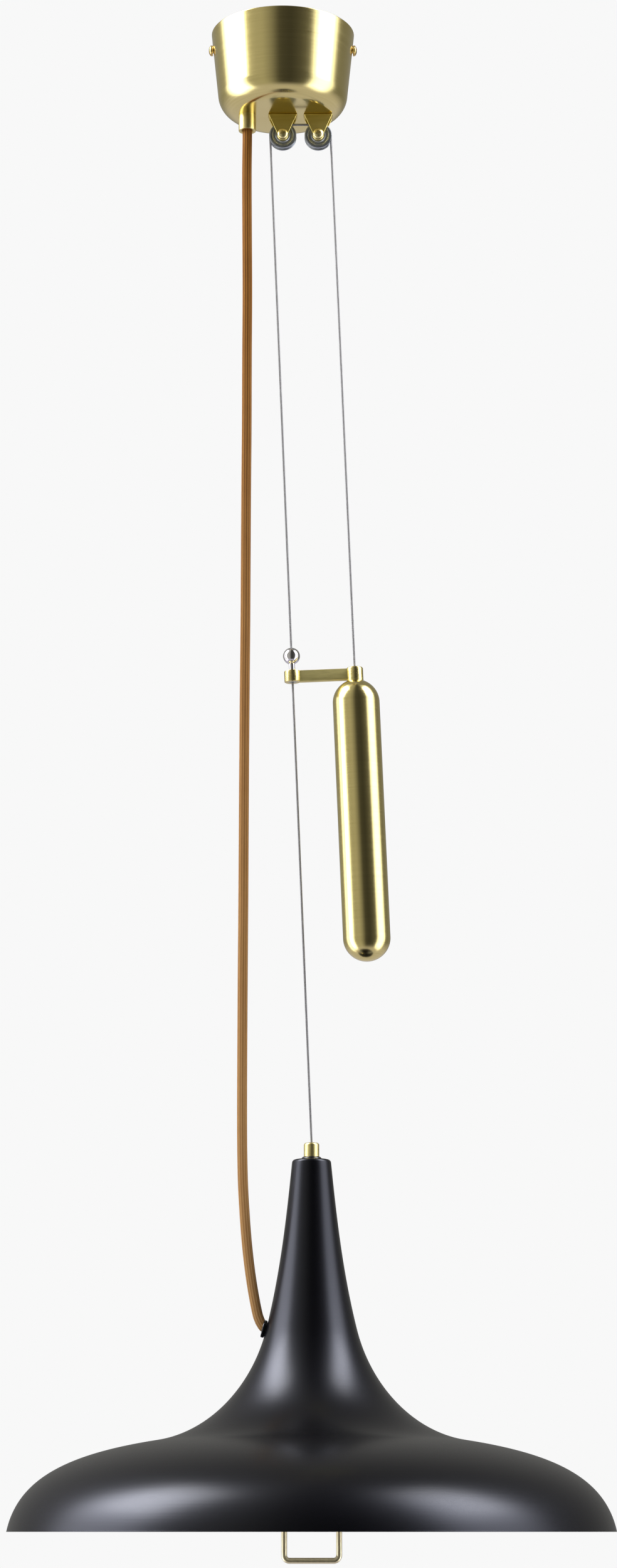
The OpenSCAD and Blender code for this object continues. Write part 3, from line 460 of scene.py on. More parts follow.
def tube(name, path, section, material, sides):
    """Sweeps a section along a path in metres. The section is a function of turn and metres
    along the path that gives a radius, and both are also the map of the tube."""
    runs = [0.0]
    for a, b in zip(path, path[1:]):
        runs.append(runs[-1] + (b - a).length)
    verts = []
    last = len(path) - 1
    for i, (p, run) in enumerate(zip(path, runs)):
        along = (path[min(i + 1, last)] - path[max(i - 1, 0)]).normalized()
        u = along.cross(Vector((0, 1, 0))).normalized()
        v = u.cross(along)
        for k in range(sides):
            r = section(k / sides, run)
            verts.append(p + r * (cos(2 * pi * k / sides) * u + sin(2 * pi * k / sides) * v))
    faces, corners = [], []
    for i in range(last):
        a, b = i * sides, (i + 1) * sides
        for k in range(sides):
            n = (k + 1) % sides
            faces.append((a + k, a + n, b + n, b + k))
            turn, next_turn = k / sides, (k + 1) / sides
            corners += [
                (turn, runs[i]), (next_turn, runs[i]), (next_turn, runs[i + 1]),
                (turn, runs[i + 1]),
            ]
    for ring, end in ((range(sides - 1, -1, -1), 0), (range(sides), last)):
        faces.append(tuple(end * sides + k for k in ring))
        corners += [(k / sides, runs[end]) for k in ring]
    mesh = new_mesh(name, verts, faces, material)
    mesh.uv_layers.new(name=TUBE_MAP)
    mesh.uv_layers[TUBE_MAP].data.foreach_set("uv", [c for pair in corners for c in pair])
    mesh.polygons.foreach_set("use_smooth", [True] * (len(faces) - 2) + [False] * 2)
    return linked(name, mesh)


def carve(obj, cutter, operation="DIFFERENCE"):
    """Cuts one mesh with another, or joins them, and keeps only the result."""
    bpy.context.view_layer.update()
    mod = obj.modifiers.new("cut", "BOOLEAN")
    mod.operation, mod.object, mod.solver = operation, cutter, "EXACT"
    mod.material_mode = "TRANSFER"
    dg = bpy.context.evaluated_depsgraph_get()
    mesh = bpy.data.meshes.new_from_object(obj.evaluated_get(dg))
    obj.modifiers.clear()
    obj.data = mesh
    bpy.data.objects.remove(cutter)
    sharpen(mesh, 40)


def round_edges(bm, edges, radius, segments):
    bmesh.ops.bevel(
        bm, geom=edges, offset=radius * MM, segments=segments, profile=0.5, affect="EDGES"
    )


def box_mesh(name, low, high, material, matrix=None, bevel=0.0):
    """A box with rounded edges. Corners in millimetres, in the local frame."""
    bm = bmesh.new()
    bmesh.ops.create_cube(bm, size=1.0)
    size = [(h - l) * MM for l, h in zip(low, high)]
    mid = [(h + l) / 2 * MM for l, h in zip(low, high)]
    bmesh.ops.scale(bm, vec=size, verts=bm.verts)
    bmesh.ops.translate(bm, vec=mid, verts=bm.verts)
    if bevel:
        round_edges(bm, bm.edges, bevel, 3)
    mesh = mesh_of(bm, name, material)
    smoothen(mesh)
    sharpen(mesh, 50)
    return linked(name, mesh, matrix)


def pan_screws(name, shank, material, places):
    """M4 screws as one piece. Each has a pan head with a cross recess, which stands on the local
    z = 0 of its place, and a shank below it."""
    r, h = M4_HEAD_R, M4_HEAD_H
    side_h = 0.3 * h
    profile = [(0, -shank), (M4_R - 0.3, -shank), (M4_R, 0.3 - shank), (M4_R, 0)]
    profile += [(r - 0.2, 0), (r, 0.2), (r, side_h)]
    profile += [
        (r * cos(radians(a)), side_h + (h - side_h) * sin(radians(a))) for a in range(6, 90, 6)
    ]
    slot_low, slot_high = (-r * 0.5, -r * 0.1, h * 0.5), (r * 0.5, r * 0.1, h * 1.2)
    all_screws = bmesh.new()
    for place in places:
        screw = lathe("screw", profile + [(0, h)], material, place)
        for k in (0, 1):
            turned = place @ Matrix.Rotation(k * pi / 2 + 0.3, 4, "Z")
            carve(screw, box_mesh("cutter", slot_low, slot_high, material, turned))
        screw.data.transform(place)
        all_screws.from_mesh(screw.data)
        bpy.data.objects.remove(screw)
    return linked(name, mesh_of(all_screws, name, material))


def put(obj, body, slot, *nodes):
    """Rides obj on a body, in place of the CAD nodes."""
    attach(obj, body)
    if nodes:
        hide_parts(*nodes)


# ---- Cords first: the flex and the wire ----

FLEX_POINTS = [
    (-26, -66), (-26, -82), (-26.2, -110), (-25.9, -150), (-25.5, -200), (-25.6, -250),
    (-25.6, -300), (-25.8, -350), (-25.9, -400), (-26, -450), (-26.3, -500), (-26.5, -550),
    (-26.6, -600), (-26.7, -650), (-26.9, -700), (-27, -750), (-27, -790), (-26.8, -820),
    (-26.2, -845), (-25, -866), (-23.4, -886), (-21.2, -905), (-18.5, -922),
]


def smooth_route(points, spacing):
    """A smooth curve through the points of a route, in metres."""
    out = []
    for i in range(len(points) - 1):
        a, b, c, d = (
            Vector(points[min(max(j, 0), len(points) - 1)]) for j in (i - 1, i, i + 1, i + 2)
        )
        n = max(1, round((c - b).length / spacing))
        for k in range(n):
            t = k / n
            q = 0.5 * (
                2 * b
                + t * (c - a)
                + t * t * (2 * a - 5 * b + 4 * c - d)
                + t**3 * (3 * b - a - 3 * c + d)
            )
            out.append(mm(q[0], 0, q[1]))
    return out + [mm(points[-1][0], 0, points[-1][1])]


# The last bend, from the hang of the flex into the bore of the grommet. Both directions are
# unit vectors, and the bend is an arc round the corner where they meet.
FALLING, INWARD = (0.407, -0.914), (0.970, -0.2425)
CORNER, CORNER_R, CORNER_FROM, CORNER_BY, CORNER_STEPS = (-11.94, -943.89), 4.5, -66, 52, 8
ROUTE_STEP, INWARD_STEPS, INWARD_STEP, INWARD_SAG = 2.5, 3, 1.5, 0.15

reach = CORNER_R * tan(radians(CORNER_BY / 2))
arc_start = (CORNER[0] - reach * FALLING[0], CORNER[1] - reach * FALLING[1])
flex_path = smooth_route(FLEX_POINTS + [(-15.4, -936.6), arc_start], ROUTE_STEP)
middle = (arc_start[0] - CORNER_R * FALLING[1], arc_start[1] + CORNER_R * FALLING[0])
for i in range(1, CORNER_STEPS + 1):
    a = radians(CORNER_FROM + CORNER_BY * i / CORNER_STEPS)
    flex_path.append(mm(middle[0] + CORNER_R * sin(a), 0, middle[1] - CORNER_R * cos(a)))
for _ in range(INWARD_STEPS):
    end = flex_path[-1] / MM
    end_x, end_z = end.x + INWARD_STEP * INWARD[0], end.z + INWARD_STEP * INWARD[1]
    flex_path.append(mm(end_x, 0, end_z - INWARD_SAG))
flex = tube("braided_flex", flex_path, lambda turn, run: FLEX_R * MM, braid, 32)
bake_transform(flex)
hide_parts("flex")

STRANDS, LAY_LENGTH, STRAND_DEPTH = 6, 0.009, 0.20
ROPE_STEP, ROPE_SIDES = 0.45, 24
IN_COLLAR, IN_BOSS = 4, 3


def rope_section(turn, run):
    """Six strands that wind round the wire, once in the lay length, in metres."""
    wave = abs(cos(pi * (STRANDS * turn - STRANDS * run / LAY_LENGTH)))
    return WIRE_R * MM * (1 - STRAND_DEPTH + STRAND_DEPTH * wave)


def rope_along(name, matrix, z0, z1):
    """A straight stretch of the wire along the local z axis."""
    n = int(abs(z1 - z0) / ROPE_STEP)
    path = [matrix @ mm(0, 0, z0 + (z1 - z0) * i / n) for i in range(n + 1)]
    return tube(name, path, rope_section, rope, ROPE_SIDES)


upper = rope_along("wire_to_ball", LAMP_FRAME, 0, BALL_Z)
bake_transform(upper)
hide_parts("lamp_wire")
lower = rope_along("wire_to_shade", LAMP_FRAME, BALL_Z, -LAMP_RUN - IN_COLLAR)
put(lower, "lamp", "wire_rope", "lamp_wire_lower")
weight_end = -WEIGHT_DROP - IN_BOSS
weight_wire = rope_along("wire_to_weight", WEIGHT_FRAME, 0, weight_end)
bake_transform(weight_wire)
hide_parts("weight_wire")

lean_deg = degrees(LEAN)
over = arc(0, AXLE_Z, WIRE_TURN_R, 180 + lean_deg, 90, 40)
over += [(PITCH * i / 50, AXLE_Z + WIRE_TURN_R) for i in range(1, 50)]
over += arc(PITCH, AXLE_Z, WIRE_TURN_R, 90, lean_deg, 40)
wire_over = tube("wire_over_wheels", [mm(x, 0, z) for x, z in over], rope_section, rope,
                 ROPE_SIDES)
put(wire_over, "ceiling", "wire_rope", "wire_over_pulleys")

# ---- Ceiling rose ----

ROSE_EDGE = 0.35
# Heights of the rings on the outer wall. Those next to the edge keep its shading off the wall.
ROSE_RINGS = (-0.6, -1.2, -8, -16, -24, -32, -40)
FLOOR_RINGS = (20, 8, 0)

rose_c = (ROSE_FLOOR_R, ROSE_CORNER_R - ROSE_H)
dx, dz = ROSE_R - rose_c[0], -rose_c[1]
wall_a = degrees(atan(dz / dx) - acos(ROSE_CORNER_R / hypot(dx, dz)))


def rose_wall(z, off):
    """Radius of the tapered wall at a height, or of a line inside it by off."""
    a = radians(wall_a)
    return rose_c[0] + (ROSE_CORNER_R - off - (z - rose_c[1]) * sin(a)) / cos(a)


outer = [(rose_wall(0, 0) - ROSE_EDGE, 0), (rose_wall(-ROSE_EDGE, 0), -ROSE_EDGE)]
outer += [(rose_wall(z, 0), z) for z in ROSE_RINGS]
outer += arc(*rose_c, ROSE_CORNER_R, wall_a, -90, 24)
outer += [(x, -ROSE_H) for x in FLOOR_RINGS]
inner = [(0, -ROSE_H + ROSE_WALL)] + arc(*rose_c, ROSE_CORNER_R - ROSE_WALL, -90, wall_a, 16)
inner += [
    (rose_wall(-ROSE_EDGE, ROSE_WALL), -ROSE_EDGE), (rose_wall(0, ROSE_WALL) + ROSE_EDGE, 0),
]
rose = lathe("rose", outer + inner, brushed_brass, None, 192, 60)
put(rose, "ceiling", "brushed_brass", "canopy")

GLAND_THREAD_R, GLAND_THREAD_H, GLAND_EDGE = 5, 5.2, 0.5

gland_low = -ROSE_H - GLAND_H
gland = lathe(
    "gland",
    [(GLAND_BORE_R, gland_low + GLAND_EDGE), (GLAND_BORE_R + GLAND_EDGE, gland_low)]
    + arc(GLAND_R - GLAND_EDGE, gland_low + GLAND_EDGE, GLAND_EDGE, -90, 0, 4)
    + [(GLAND_R, -ROSE_H), (GLAND_THREAD_R, -ROSE_H)]
    + [(x, -ROSE_H + GLAND_THREAD_H) for x in (GLAND_THREAD_R, GLAND_BORE_R)],
    turned_brass, Matrix.Translation(mm(-PITCH, 0, 0)),
)
put(gland, "ceiling", "polished_brass", "cable_gland")

# ---- Pulley brackets and pulleys ----

BRACKET_W, CHEEK_GAP, TIP_R, WEB_T, CHEEK_BEND = 21.2, 7, 3.3, 1.5, 1.3


def soft_edges(obj, width):
    """Rounds the edges with a bevel of a width in millimetres."""
    bevel = obj.modifiers.new("edges", "BEVEL")
    bevel.width, bevel.segments, bevel.limit_method = width * MM, 3, "ANGLE"
    bevel.angle_limit = radians(50)


def bracket(name, x):
    """Bent from one strip: a web under the rose and two cheeks that taper to the axle."""
    half_b, low_z = BRACKET_W / 2, -AXLE_DROP
    block = box_mesh(name, (-half_b, -CHEEK_OUT, 2 * low_z), (half_b, CHEEK_OUT, 0), sheet_brass)
    bm = bmesh.new()
    bm.from_mesh(block.data)
    bends = [
        e for e in bm.edges
        if all(abs(v.co.z) < 1e-6 for v in e.verts)
        and abs(e.verts[0].co.y - e.verts[1].co.y) < 1e-6
    ]
    round_edges(bm, bends, CHEEK_BEND, 6)
    bm.to_mesh(block.data)
    bm.free()
    room_low = (-half_b - 1, -CHEEK_GAP / 2, 3 * low_z)
    room_high = (half_b + 1, CHEEK_GAP / 2, -WEB_T)
    carve(block, box_mesh("room", room_low, room_high, sheet_brass))
    # The side of the cheeks, straight from the web to the round tip
    lean_in = atan(half_b / -low_z) - asin(TIP_R / hypot(half_b, low_z))
    tip = arc(0, low_z, TIP_R, degrees(-lean_in), degrees(lean_in) - 180, 16)
    outline = [(-half_b, 1), (half_b, 1), (half_b, 0)] + tip + [(-half_b, 0)]
    n = len(outline)
    verts = [mm(px, py, pz) for py in (-8, 8) for px, pz in outline]
    faces = [tuple(range(n)), tuple(range(2 * n - 1, n - 1, -1))]
    faces += [(i, (i + 1) % n, n + (i + 1) % n, n + i) for i in range(n)]
    prism = new_mesh("prism", verts, faces, sheet_brass)
    smoothen(prism, False)
    sharpen(prism)
    carve(block, linked("prism", prism), "INTERSECT")
    block.matrix_world = Matrix.Translation(mm(x, 0, -ROSE_H))
    soft_edges(block, 0.3)
    return block


for side, x in (("left", 0), ("right", PITCH)):
    put(bracket("cheeks_" + side, x), "ceiling", "polished_brass", "pulley_bracket_" + side)


def facing(x, y, z, axis="front"):
    """A frame whose local z axis points to the front, or outward along x."""
    turn = {
        "front": Matrix.Rotation(pi / 2, 4, "X"),
        "left": Matrix.Rotation(-pi / 2, 4, "Y"),
        "right": Matrix.Rotation(pi / 2, 4, "Y"),
    }[axis]
    return Matrix.Translation(mm(x, y, z)) @ turn


BUSH_BORE_R, BUSH_HALF_L, BUSH_EDGE = 2.05, 3.25, 0.3


def mirrored(half):
    """A profile from its half above z = 0."""
    return half + [(r, -z) for r, z in reversed(half)]


face = WHEEL_W / 2
dish = face - DISH_DEPTH
groove_r = WIRE_TURN_R - WIRE_R - WIRE_GAP
wheel_profile = mirrored([
    (BUSH_R, dish + 0.3), (5, dish + 0.3), (5.3, dish), (6.5, dish), (6.8, face - 0.5),
    (DISH_R - 0.4, face - 0.5), (DISH_R, face - 0.1), (DISH_R + 0.2, face),
    (WHEEL_R - 0.5, face), (WHEEL_R - 0.15, face - 0.15), (WHEEL_R, face - 0.5),
    (WHEEL_R, 1.9), (WHEEL_R - 0.3, 1.65), (groove_r + 0.3, 1.25), (groove_r, 0.9),
])
bush_profile = mirrored([
    (BUSH_BORE_R, BUSH_HALF_L), (BUSH_R - BUSH_EDGE, BUSH_HALF_L),
    (BUSH_R, BUSH_HALF_L - BUSH_EDGE),
])
for side, x in (("left", 0), ("right", PITCH)):
    at = facing(x, 0, AXLE_Z)
    wheel = lathe("wheel_" + side, wheel_profile, zinc, at, 96, 35)
    put(wheel, side + "_pulley", "zinc_wheel", "pulley_" + side)
    bush = lathe("wheel_bush_" + side, bush_profile, turned_brass, at, 48, 35)
    put(bush, side + "_pulley", "polished_brass", "pulley_bush_" + side)

SIDE_SCREW_L = 11

axles = pan_screws(
    "axles", 2 * CHEEK_OUT + M4_NUT_H + M4_SPARE, screw_brass,
    [facing(x, -CHEEK_OUT, AXLE_Z) for x in (0, PITCH)],
)
put(axles, "ceiling", "polished_brass", "axle_screws")
side_x = rose_wall(M4_HEAD_R - SIDE_SCREW_Z, 0) + THREAD_GAP
side_screws = pan_screws(
    "side_screws", SIDE_SCREW_L, side_brass,
    [facing(-side_x, 0, -SIDE_SCREW_Z, "left"), facing(side_x, 0, -SIDE_SCREW_Z, "right")],
)
put(side_screws, "ceiling", "polished_brass", "canopy_screws")

# ---- Counterweight ----

ARM_EDGE, BAR_EDGE, BOSS_EDGE, BOSS_BORE_R, BOSS_BORE_H = 0.5, 0.35, 1.2, 1.1, 2

top = ARM_BOTTOM - 0.1
straight = WEIGHT_L - 2 * WEIGHT_R
capsule = arc(0, top - WEIGHT_R, WEIGHT_R, 90, 0, 32)
capsule += [(WEIGHT_R, top - WEIGHT_R - straight * i / 12) for i in range(1, 12)]
capsule += arc(0, top - WEIGHT_L + WEIGHT_R, WEIGHT_R, 0, -90, 32)
capsule[0], capsule[-1] = (0, top), (0, top - WEIGHT_L)
weight = lathe("weight", capsule, brushed_brass, WEIGHT_FRAME, 128, 60, closed=False)
put(weight, "counterweight", "brushed_brass", "weight_shell", "weight_base")

ring = lathe(
    "guide_arm",
    [(GUIDE_BORE_R, ARM_TOP), (RING_R - ARM_EDGE, ARM_TOP)]
    + arc(RING_R - ARM_EDGE, ARM_TOP - ARM_EDGE, ARM_EDGE, 60, 0, 3)
    + arc(RING_R - ARM_EDGE, ARM_BOTTOM + ARM_EDGE, ARM_EDGE, 0, -90, 4)
    + [(GUIDE_BORE_R, ARM_BOTTOM)],
    cast_brass, WEIGHT_FRAME @ Matrix.Translation(mm(-GUIDE_X, 0, 0)),
)
# The bar reaches into the ring and the boss
bar = box_mesh(
    "bar", (-GUIDE_X + RING_R - 1.2, -ARM_T / 2, ARM_BOTTOM), (-BOSS_R + 1.5, ARM_T / 2, ARM_TOP),
    bar_brass, WEIGHT_FRAME, BAR_EDGE,
)
seat = top - WEIGHT_R + sqrt(WEIGHT_R**2 - BOSS_R**2)
boss = lathe(
    "boss",
    [(0, seat), (BOSS_R, seat)]
    + arc(BOSS_R - BOSS_EDGE, -WEIGHT_DROP - BOSS_EDGE, BOSS_EDGE, 0, 90, 6)
    + [(BOSS_BORE_R, -WEIGHT_DROP)]
    + [(x, -WEIGHT_DROP - BOSS_BORE_H) for x in (BOSS_BORE_R, 0)],
    cast_brass, WEIGHT_FRAME,
)
carve(ring, bar, "UNION")
carve(ring, boss, "UNION")
put(ring, "counterweight", "polished_brass", "guide_arm")

# ---- Ball stop ----

BALL_BORE_R, STEM_EDGE = 0.85, 0.2

join = degrees(asin(BALL_STEM_R / BALL_R))
ball_profile = [(BALL_BORE_R, BALL_Z + sqrt(BALL_R**2 - BALL_BORE_R**2))]
ball_profile += arc(0, BALL_Z, BALL_R, 80, -90 + join, 40)
ball_profile += [(BALL_STEM_R, STEM_BOTTOM + STEM_EDGE), (BALL_STEM_R - STEM_EDGE, STEM_BOTTOM)]
ball_profile += [(BALL_BORE_R, STEM_BOTTOM)]
ball = lathe("ball", ball_profile, chrome, LAMP_FRAME, 96)
put(ball, "lamp", "chromed_ball", "ball_stop")

# ---- Shade ----

SHADE_BORE_R, TOP_RING_R = 3.05, 8
SHADE_STEPS, CURVE_STEPS = 256, 40

neck = [(NECK_R, SHADE_H - NECK_EDGE_R), (NECK_R + 3.8, SHADE_H - NECK_EDGE_R - 38),
        (FLANK[0] - 9.5, FLANK[1] + 38), FLANK]
flare = [FLANK, (FLANK[0] + 9.5, FLANK[1] - 38), (BEND[0] - 36, BEND[1] + 5.58), BEND]
dome = [BEND, (BEND[0] + 60, BEND[1] - 9.3), (RIM_R - 7, 35), (RIM_R, 0)]


def shade_line(off):
    """The outer profile of the shade, or a line inside it by off."""
    line = [(SHADE_BORE_R, SHADE_H - off), (TOP_RING_R, SHADE_H - off)]
    line += arc(NECK_R - NECK_EDGE_R, SHADE_H - NECK_EDGE_R, NECK_EDGE_R - off, 90, 5.7, 8)
    for curve in (neck, flare, dome):
        line += bezier(curve, CURVE_STEPS, off)
    return line


shade_profile = shade_line(0) + list(reversed(shade_line(SHADE_WALL)))
shell = lathe("shade_shell", shade_profile, shade_black, SHADE_FRAME, SHADE_STEPS)
shell.data.materials.append(shade_white)
inside_top = (SHADE_H - SHADE_WALL - 0.05) * MM
for f in shell.data.polygons:
    faces_in = f.normal.x * f.center.x + f.normal.y * f.center.y < 0
    if faces_in and f.center.z < inside_top:
        f.material_index = 1
put(shell, "lamp", "black_shade", "shade")
rim_roll = arc(RIM_R - BEAD_R, BEAD_R, BEAD_R, -20, -220, 10)
roll = lathe("shade_rim", rim_roll + [rim_roll[0]], shade_black, SHADE_FRAME, SHADE_STEPS, 80)
put(roll, "lamp", "black_shade")

COLLAR_INNER_R, COLLAR_HOLE_R, COLLAR_HOLE_H, COLLAR_EDGE = 3, 1.4, 2.5, 1.6

collar_inside = COLLAR_TOP - COLLAR_HOLE_H
collar = lathe(
    "collar",
    [(COLLAR_INNER_R, COLLAR_TOP - COLLAR_H), (COLLAR_R, COLLAR_TOP - COLLAR_H)]
    + arc(COLLAR_R - COLLAR_EDGE, COLLAR_TOP - COLLAR_EDGE, COLLAR_EDGE, 0, 90, 8)
    + [(COLLAR_HOLE_R, COLLAR_TOP), (COLLAR_HOLE_R, collar_inside)]
    + [(COLLAR_INNER_R, collar_inside)],
    turned_brass, SHADE_FRAME,
)
put(collar, "lamp", "polished_brass", "wire_collar")
washer = lathe(
    "washer",
    [(SHADE_BORE_R, SHADE_H), (WASHER_R, SHADE_H)]
    + arc(WASHER_R - WASHER_H, SHADE_H, WASHER_H, 12, 90, 8)
    + [(SHADE_BORE_R, SHADE_H + WASHER_H)],
    washer_black, SHADE_FRAME,
)
put(washer, "lamp", "black_shade", "top_washer")

# The grommet: a mouth for the flex, a round lip, a groove that holds the wall of the shade and
# a flange inside it
GROMMET_BORE_R, GROMMET_R, GROOVE_R, FLANGE_R = 3.55, 6, 5, 5.8
GROOVE_LOW, FLANGE_LOW = -1.5, -3

flank_a = atan(0.25)
FLANK_FRAME = (
    SHADE_FRAME
    @ Matrix.Translation(mm(-FLANK[0], 0, FLANK[1]))
    @ Matrix.Rotation(flank_a - pi / 2, 4, "Y")
)
grommet = lathe(
    "grommet_ring",
    [(GROMMET_BORE_R, -0.8), (4.3, 1.3), (4.9, 2.5)]
    + arc(GROMMET_R - 0.7, 2.0, 0.7, 120, 0, 6)
    + [(GROMMET_R, 0.9), (GROMMET_R - 0.4, 0.3), (GROOVE_R, 0.3), (GROOVE_R, GROOVE_LOW)]
    + [(FLANGE_R, GROOVE_LOW), (FLANGE_R, FLANGE_LOW), (GROMMET_BORE_R, FLANGE_LOW)],
    rubber, FLANK_FRAME,
)
put(grommet, "lamp", "black_rubber", "grommet")

# ---- Pull handle ----

RINGS_ABOVE, RINGS_BELOW, RING_PITCH, GRIP_RINGS = 10, 7, 2, 12

half_w, bend_r, foot = HANDLE_W / 2, HANDLE_BEND_R, -HANDLE_DROP
# The left leg and bend, then the grip, then the same again on the right
route = [(-half_w, LEG_TOP - LEG_TOP * i / RINGS_ABOVE) for i in range(RINGS_ABOVE + 1)]
route += [(-half_w, -i * RING_PITCH) for i in range(1, RINGS_BELOW + 1)]
route += arc(-half_w + bend_r, foot + bend_r, bend_r, 180, 270, 12)
grip = HANDLE_W - 2 * bend_r
grip_rings = [(-half_w + bend_r + grip * i / GRIP_RINGS, foot) for i in range(1, GRIP_RINGS)]
route += grip_rings + [(-x, z) for x, z in reversed(route)]
handle = tube("handle", [SHADE_FRAME @ mm(x, 0, z) for x, z in route],
              lambda turn, run: ROD_R * MM, rod_brass, 32)
put(handle, "lamp", "polished_brass", "pull_handle")

# ---- Bulb ----

BULB_R, BULB_Z, BULB_CAP_Z = 22.5, 81, 107.5
BULB_NECK = [(13.9, 99.5), (13.4, 103), (13.1, BULB_CAP_Z), (0, BULB_CAP_Z)]

glass = lathe("bulb", arc(0, BULB_Z, BULB_R, -90, 50, 48) + BULB_NECK, opal, SHADE_FRAME, 96, 60)
put(glass, "lamp", "opal_glass", "bulb_glass")

# ---- CAD nodes that stay: materials and soft edges ----

LOOKS = {
    steel: (
        "mounting_strap terminal_screws block_screw bracket_nuts weight_stud weight_ferrule"
        " ball_grub_screw collar_ferrule hanger_stud shade_nut hickey handle_stirrup handle_nuts"
    ),
    core_steel: "weight_core",
    screw_brass: "gland_nut bracket_screws axle_nuts",
    turned_brass: "nipple holder_thread holder_contact",
    bulb_metal: "bulb_cap",
    holder_black: "holder_cap holder_body holder_ring",
    nylon: "cord_grip terminal_block guide_bush tail_clip holder_insert",
    braid: "flex_head flex_tail",
    lead_brown: "rose_leads lamp_leads",
}
for material, names in LOOKS.items():
    for name in names.split():
        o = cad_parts[name]
        o.data.materials.clear()
        o.data.materials.append(material)
for name in ("mounting_strap", "handle_stirrup", "terminal_block", "hickey"):
    soft_edges(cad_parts[name], 0.4)

# ---- Studio: pale floor, soft light ----

FLOOR_Z, FLOOR_SIZE, FLOOR_GLOW, GLOW_SHARE = -1.95, 60, 0.985, 0.85

bpy.ops.mesh.primitive_plane_add(size=FLOOR_SIZE, location=(0, 0, FLOOR_Z))
floor = bpy.context.object
floor.name = "floor"
floor_paint = coated("floor_paint", (0.82, 0.82, 0.82), 0.7, 40, 0.0001)
# The camera sees the floor almost as pale as the backdrop. Metal sees through it, to the studio
# of the world.
rays = add(floor_paint, "ShaderNodeLightPath")
glow = add(floor_paint, "ShaderNodeEmission", Color=(FLOOR_GLOW, FLOOR_GLOW, FLOOR_GLOW, 1))
clear = add(floor_paint, "ShaderNodeBsdfTransparent")
share = maths(floor_paint, "MULTIPLY", rays.outputs["Is Camera Ray"], GLOW_SHARE)
pale = mixed(floor_paint, share, principled(floor_paint).outputs[0], glow.outputs[0])
shown = mixed(floor_paint, rays.outputs["Is Glossy Ray"], pale, clear.outputs[0])
wire_up(
    floor_paint, (shown, floor_paint.node_tree.nodes["Material Output"].inputs["Surface"])
)
floor.data.materials.append(floor_paint)

BOX_AIM, BOX_AWAY = Vector((0.02, 0, -0.75)), 2.2


def softbox(name, azimuth, elevation, width, height, power):
    """An area light that looks at the lamp, from so many degrees to the right and up."""
    light = linked(name, bpy.data.lights.new(name, "AREA"))
    light.data.shape, light.data.size, light.data.size_y = "RECTANGLE", width, height
    light.data.energy = power
    a, up = radians(azimuth), radians(elevation)
    back = Vector((sin(a) * cos(up), -cos(a) * cos(up), sin(up)))
    light.location = BOX_AIM + back * BOX_AWAY
    light.rotation_euler = back.to_track_quat("Z", "Y").to_euler()


softbox("left_box", -80, 45, 1.05, 1.5, 32)
softbox("right_box", 75, 45, 0.85, 1.5, 19)

# What metal and paint show of the studio, round the horizon: degrees from the camera's side to
# the right, the level of the room there, and how much of the tall light panels stands there.
HORIZON = [
    (-180, 0.32, 0), (-118, 0.34, 0), (-104, 0.34, 1), (-74, 0.42, 1), (-64, 0.44, 0),
    (-34, 0.48, 0), (-20, 0.30, 0), (-6, 0.07, 0), (14, 0.05, 0), (32, 0.09, 0), (48, 0.12, 0),
    (62, 0.16, 0.8), (88, 0.2, 0.8), (104, 0.2, 0), (180, 0.32, 0),
]
# Up the panels: the height of the direction, from -1 down to 1 up, and the level of the panels
PANELS = [
    (-1, 0), (-0.82, 0), (-0.62, 0.36), (0.34, 0.36), (0.66, 1), (0.82, 1), (0.92, 0.1), (1, 0),
]
PANEL_LEVEL = 10
# The floor takes over from the room where a direction points down. Away from the camera's side
# it starts lower, by the tilt.
FLOOR_RAMP, FLOOR_TILT = [(-2, 1), (-0.70, 1), (-0.36, 0), (2, 0)], 0.45
# The room is a little warm, and the panels and the floor are a little cool
ROOM_TINT, PANEL_TINT, FLOOR_TINT = (1, 0.985, 0.92), (0.98, 1, 1.13), (0.6, 0.585, 0.67)
BACKDROP, AMBIENT = (0.939, 0.939, 0.939), (0.16, 0.16, 0.165)

world = bpy.data.worlds.new("studio")
bpy.context.scene.world = world
world.use_nodes = True
world.node_tree.nodes.clear()


def background(colour):
    """A background in a colour, a tuple or the output of a node."""
    n = add(world, "ShaderNodeBackground")
    if isinstance(colour, tuple):
        n.inputs["Color"].default_value = (*colour, 1)
    else:
        wire_up(world, (colour, n.inputs["Color"]))
    return n.outputs[0]


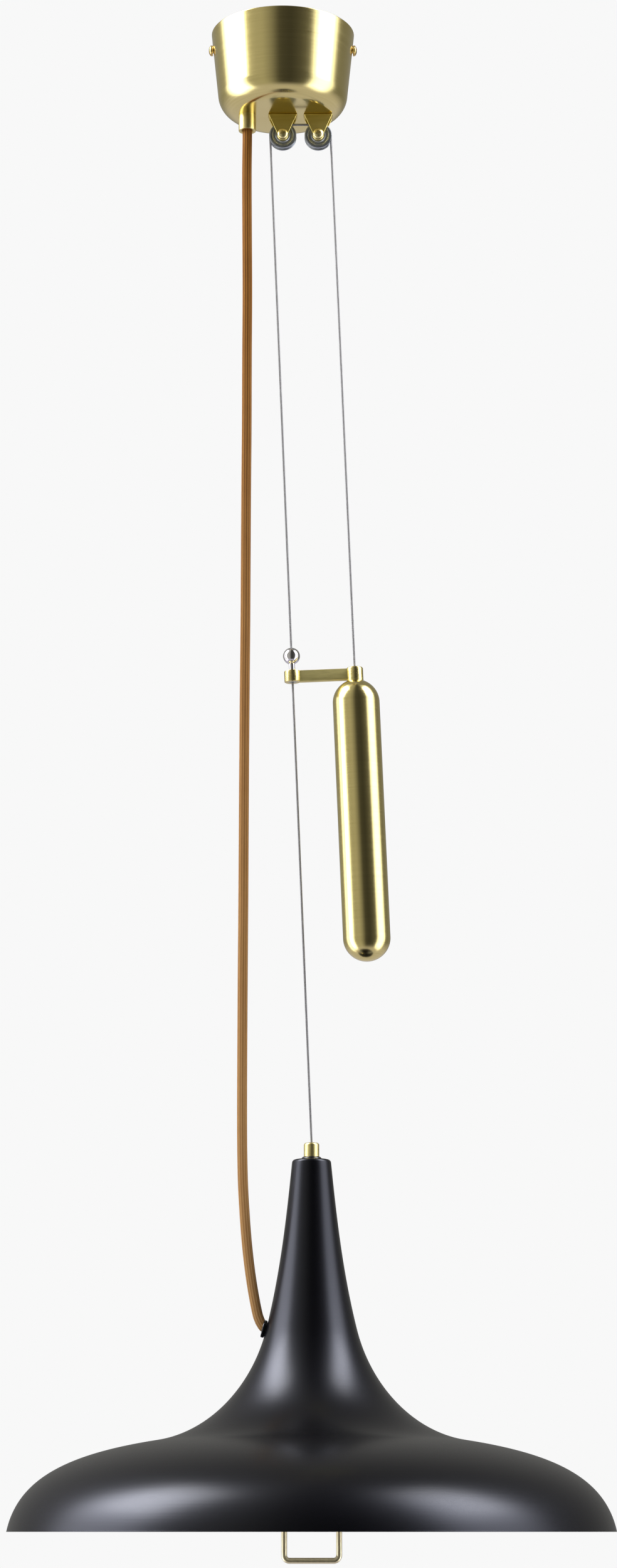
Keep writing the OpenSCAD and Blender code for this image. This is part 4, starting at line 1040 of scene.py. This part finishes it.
def ramp(value, low, high, points):
    """A level from (value, level) points between a low and a high value."""
    fac = add(world, "ShaderNodeMapRange")
    fac.inputs["From Min"].default_value = low
    fac.inputs["From Max"].default_value = high
    levels = add(world, "ShaderNodeValToRGB")
    stops = levels.color_ramp.elements
    while len(stops) < len(points):
        stops.new(0.5)
    for stop, (at, level) in zip(stops, points):
        stop.position = (at - low) / (high - low)
        stop.color = (level, level, level, 1)
    wire_up(world, (value, fac.inputs["Value"]), (fac.outputs["Result"], levels.inputs["Fac"]))
    return levels.outputs["Color"]


def calc(operation, a, b=None):
    return maths(world, operation, a, b)


direction = add(world, "ShaderNodeTexCoord")
split = add(world, "ShaderNodeSeparateXYZ")
wire_up(world, (direction.outputs["Generated"], split.inputs["Vector"]))
to_x, to_y, to_z = (split.outputs[axis] for axis in "XYZ")
bearing = calc("ARCTAN2", to_x, calc("MULTIPLY", to_y, -1))
room_level = ramp(bearing, -pi, pi, [(radians(a), level) for a, level, _ in HORIZON])
panel_side = ramp(bearing, -pi, pi, [(radians(a), level) for a, _, level in HORIZON])
panel_up = ramp(to_z, -1, 1, PANELS)
down = ramp(calc("SUBTRACT", to_z, calc("MULTIPLY", to_y, FLOOR_TILT)), -2, 2, FLOOR_RAMP)
room_level = calc("MULTIPLY", room_level, calc("SUBTRACT", 1, down))
panel = calc("MULTIPLY", calc("MULTIPLY", panel_side, panel_up), PANEL_LEVEL)
room = add(world, "ShaderNodeCombineColor")
for i, channel in enumerate(("Red", "Green", "Blue")):
    total = calc("MULTIPLY", room_level, ROOM_TINT[i])
    for level, colour in ((panel, PANEL_TINT), (down, FLOOR_TINT)):
        total = calc("ADD", total, calc("MULTIPLY", level, colour[i]))
    wire_up(world, (total, room.inputs[channel]))
rays = add(world, "ShaderNodeLightPath")
mirrored_ray = calc(
    "MAXIMUM", rays.outputs["Is Glossy Ray"], rays.outputs["Is Transmission Ray"]
)
unseen = mixed(world, mirrored_ray, background(AMBIENT), background(room.outputs["Color"]))
surface = mixed(world, rays.outputs["Is Camera Ray"], unseen, background(BACKDROP))
wire_up(world, (surface, add(world, "ShaderNodeOutputWorld").inputs["Surface"]))
bpy.context.scene.view_settings.view_transform = "Standard"
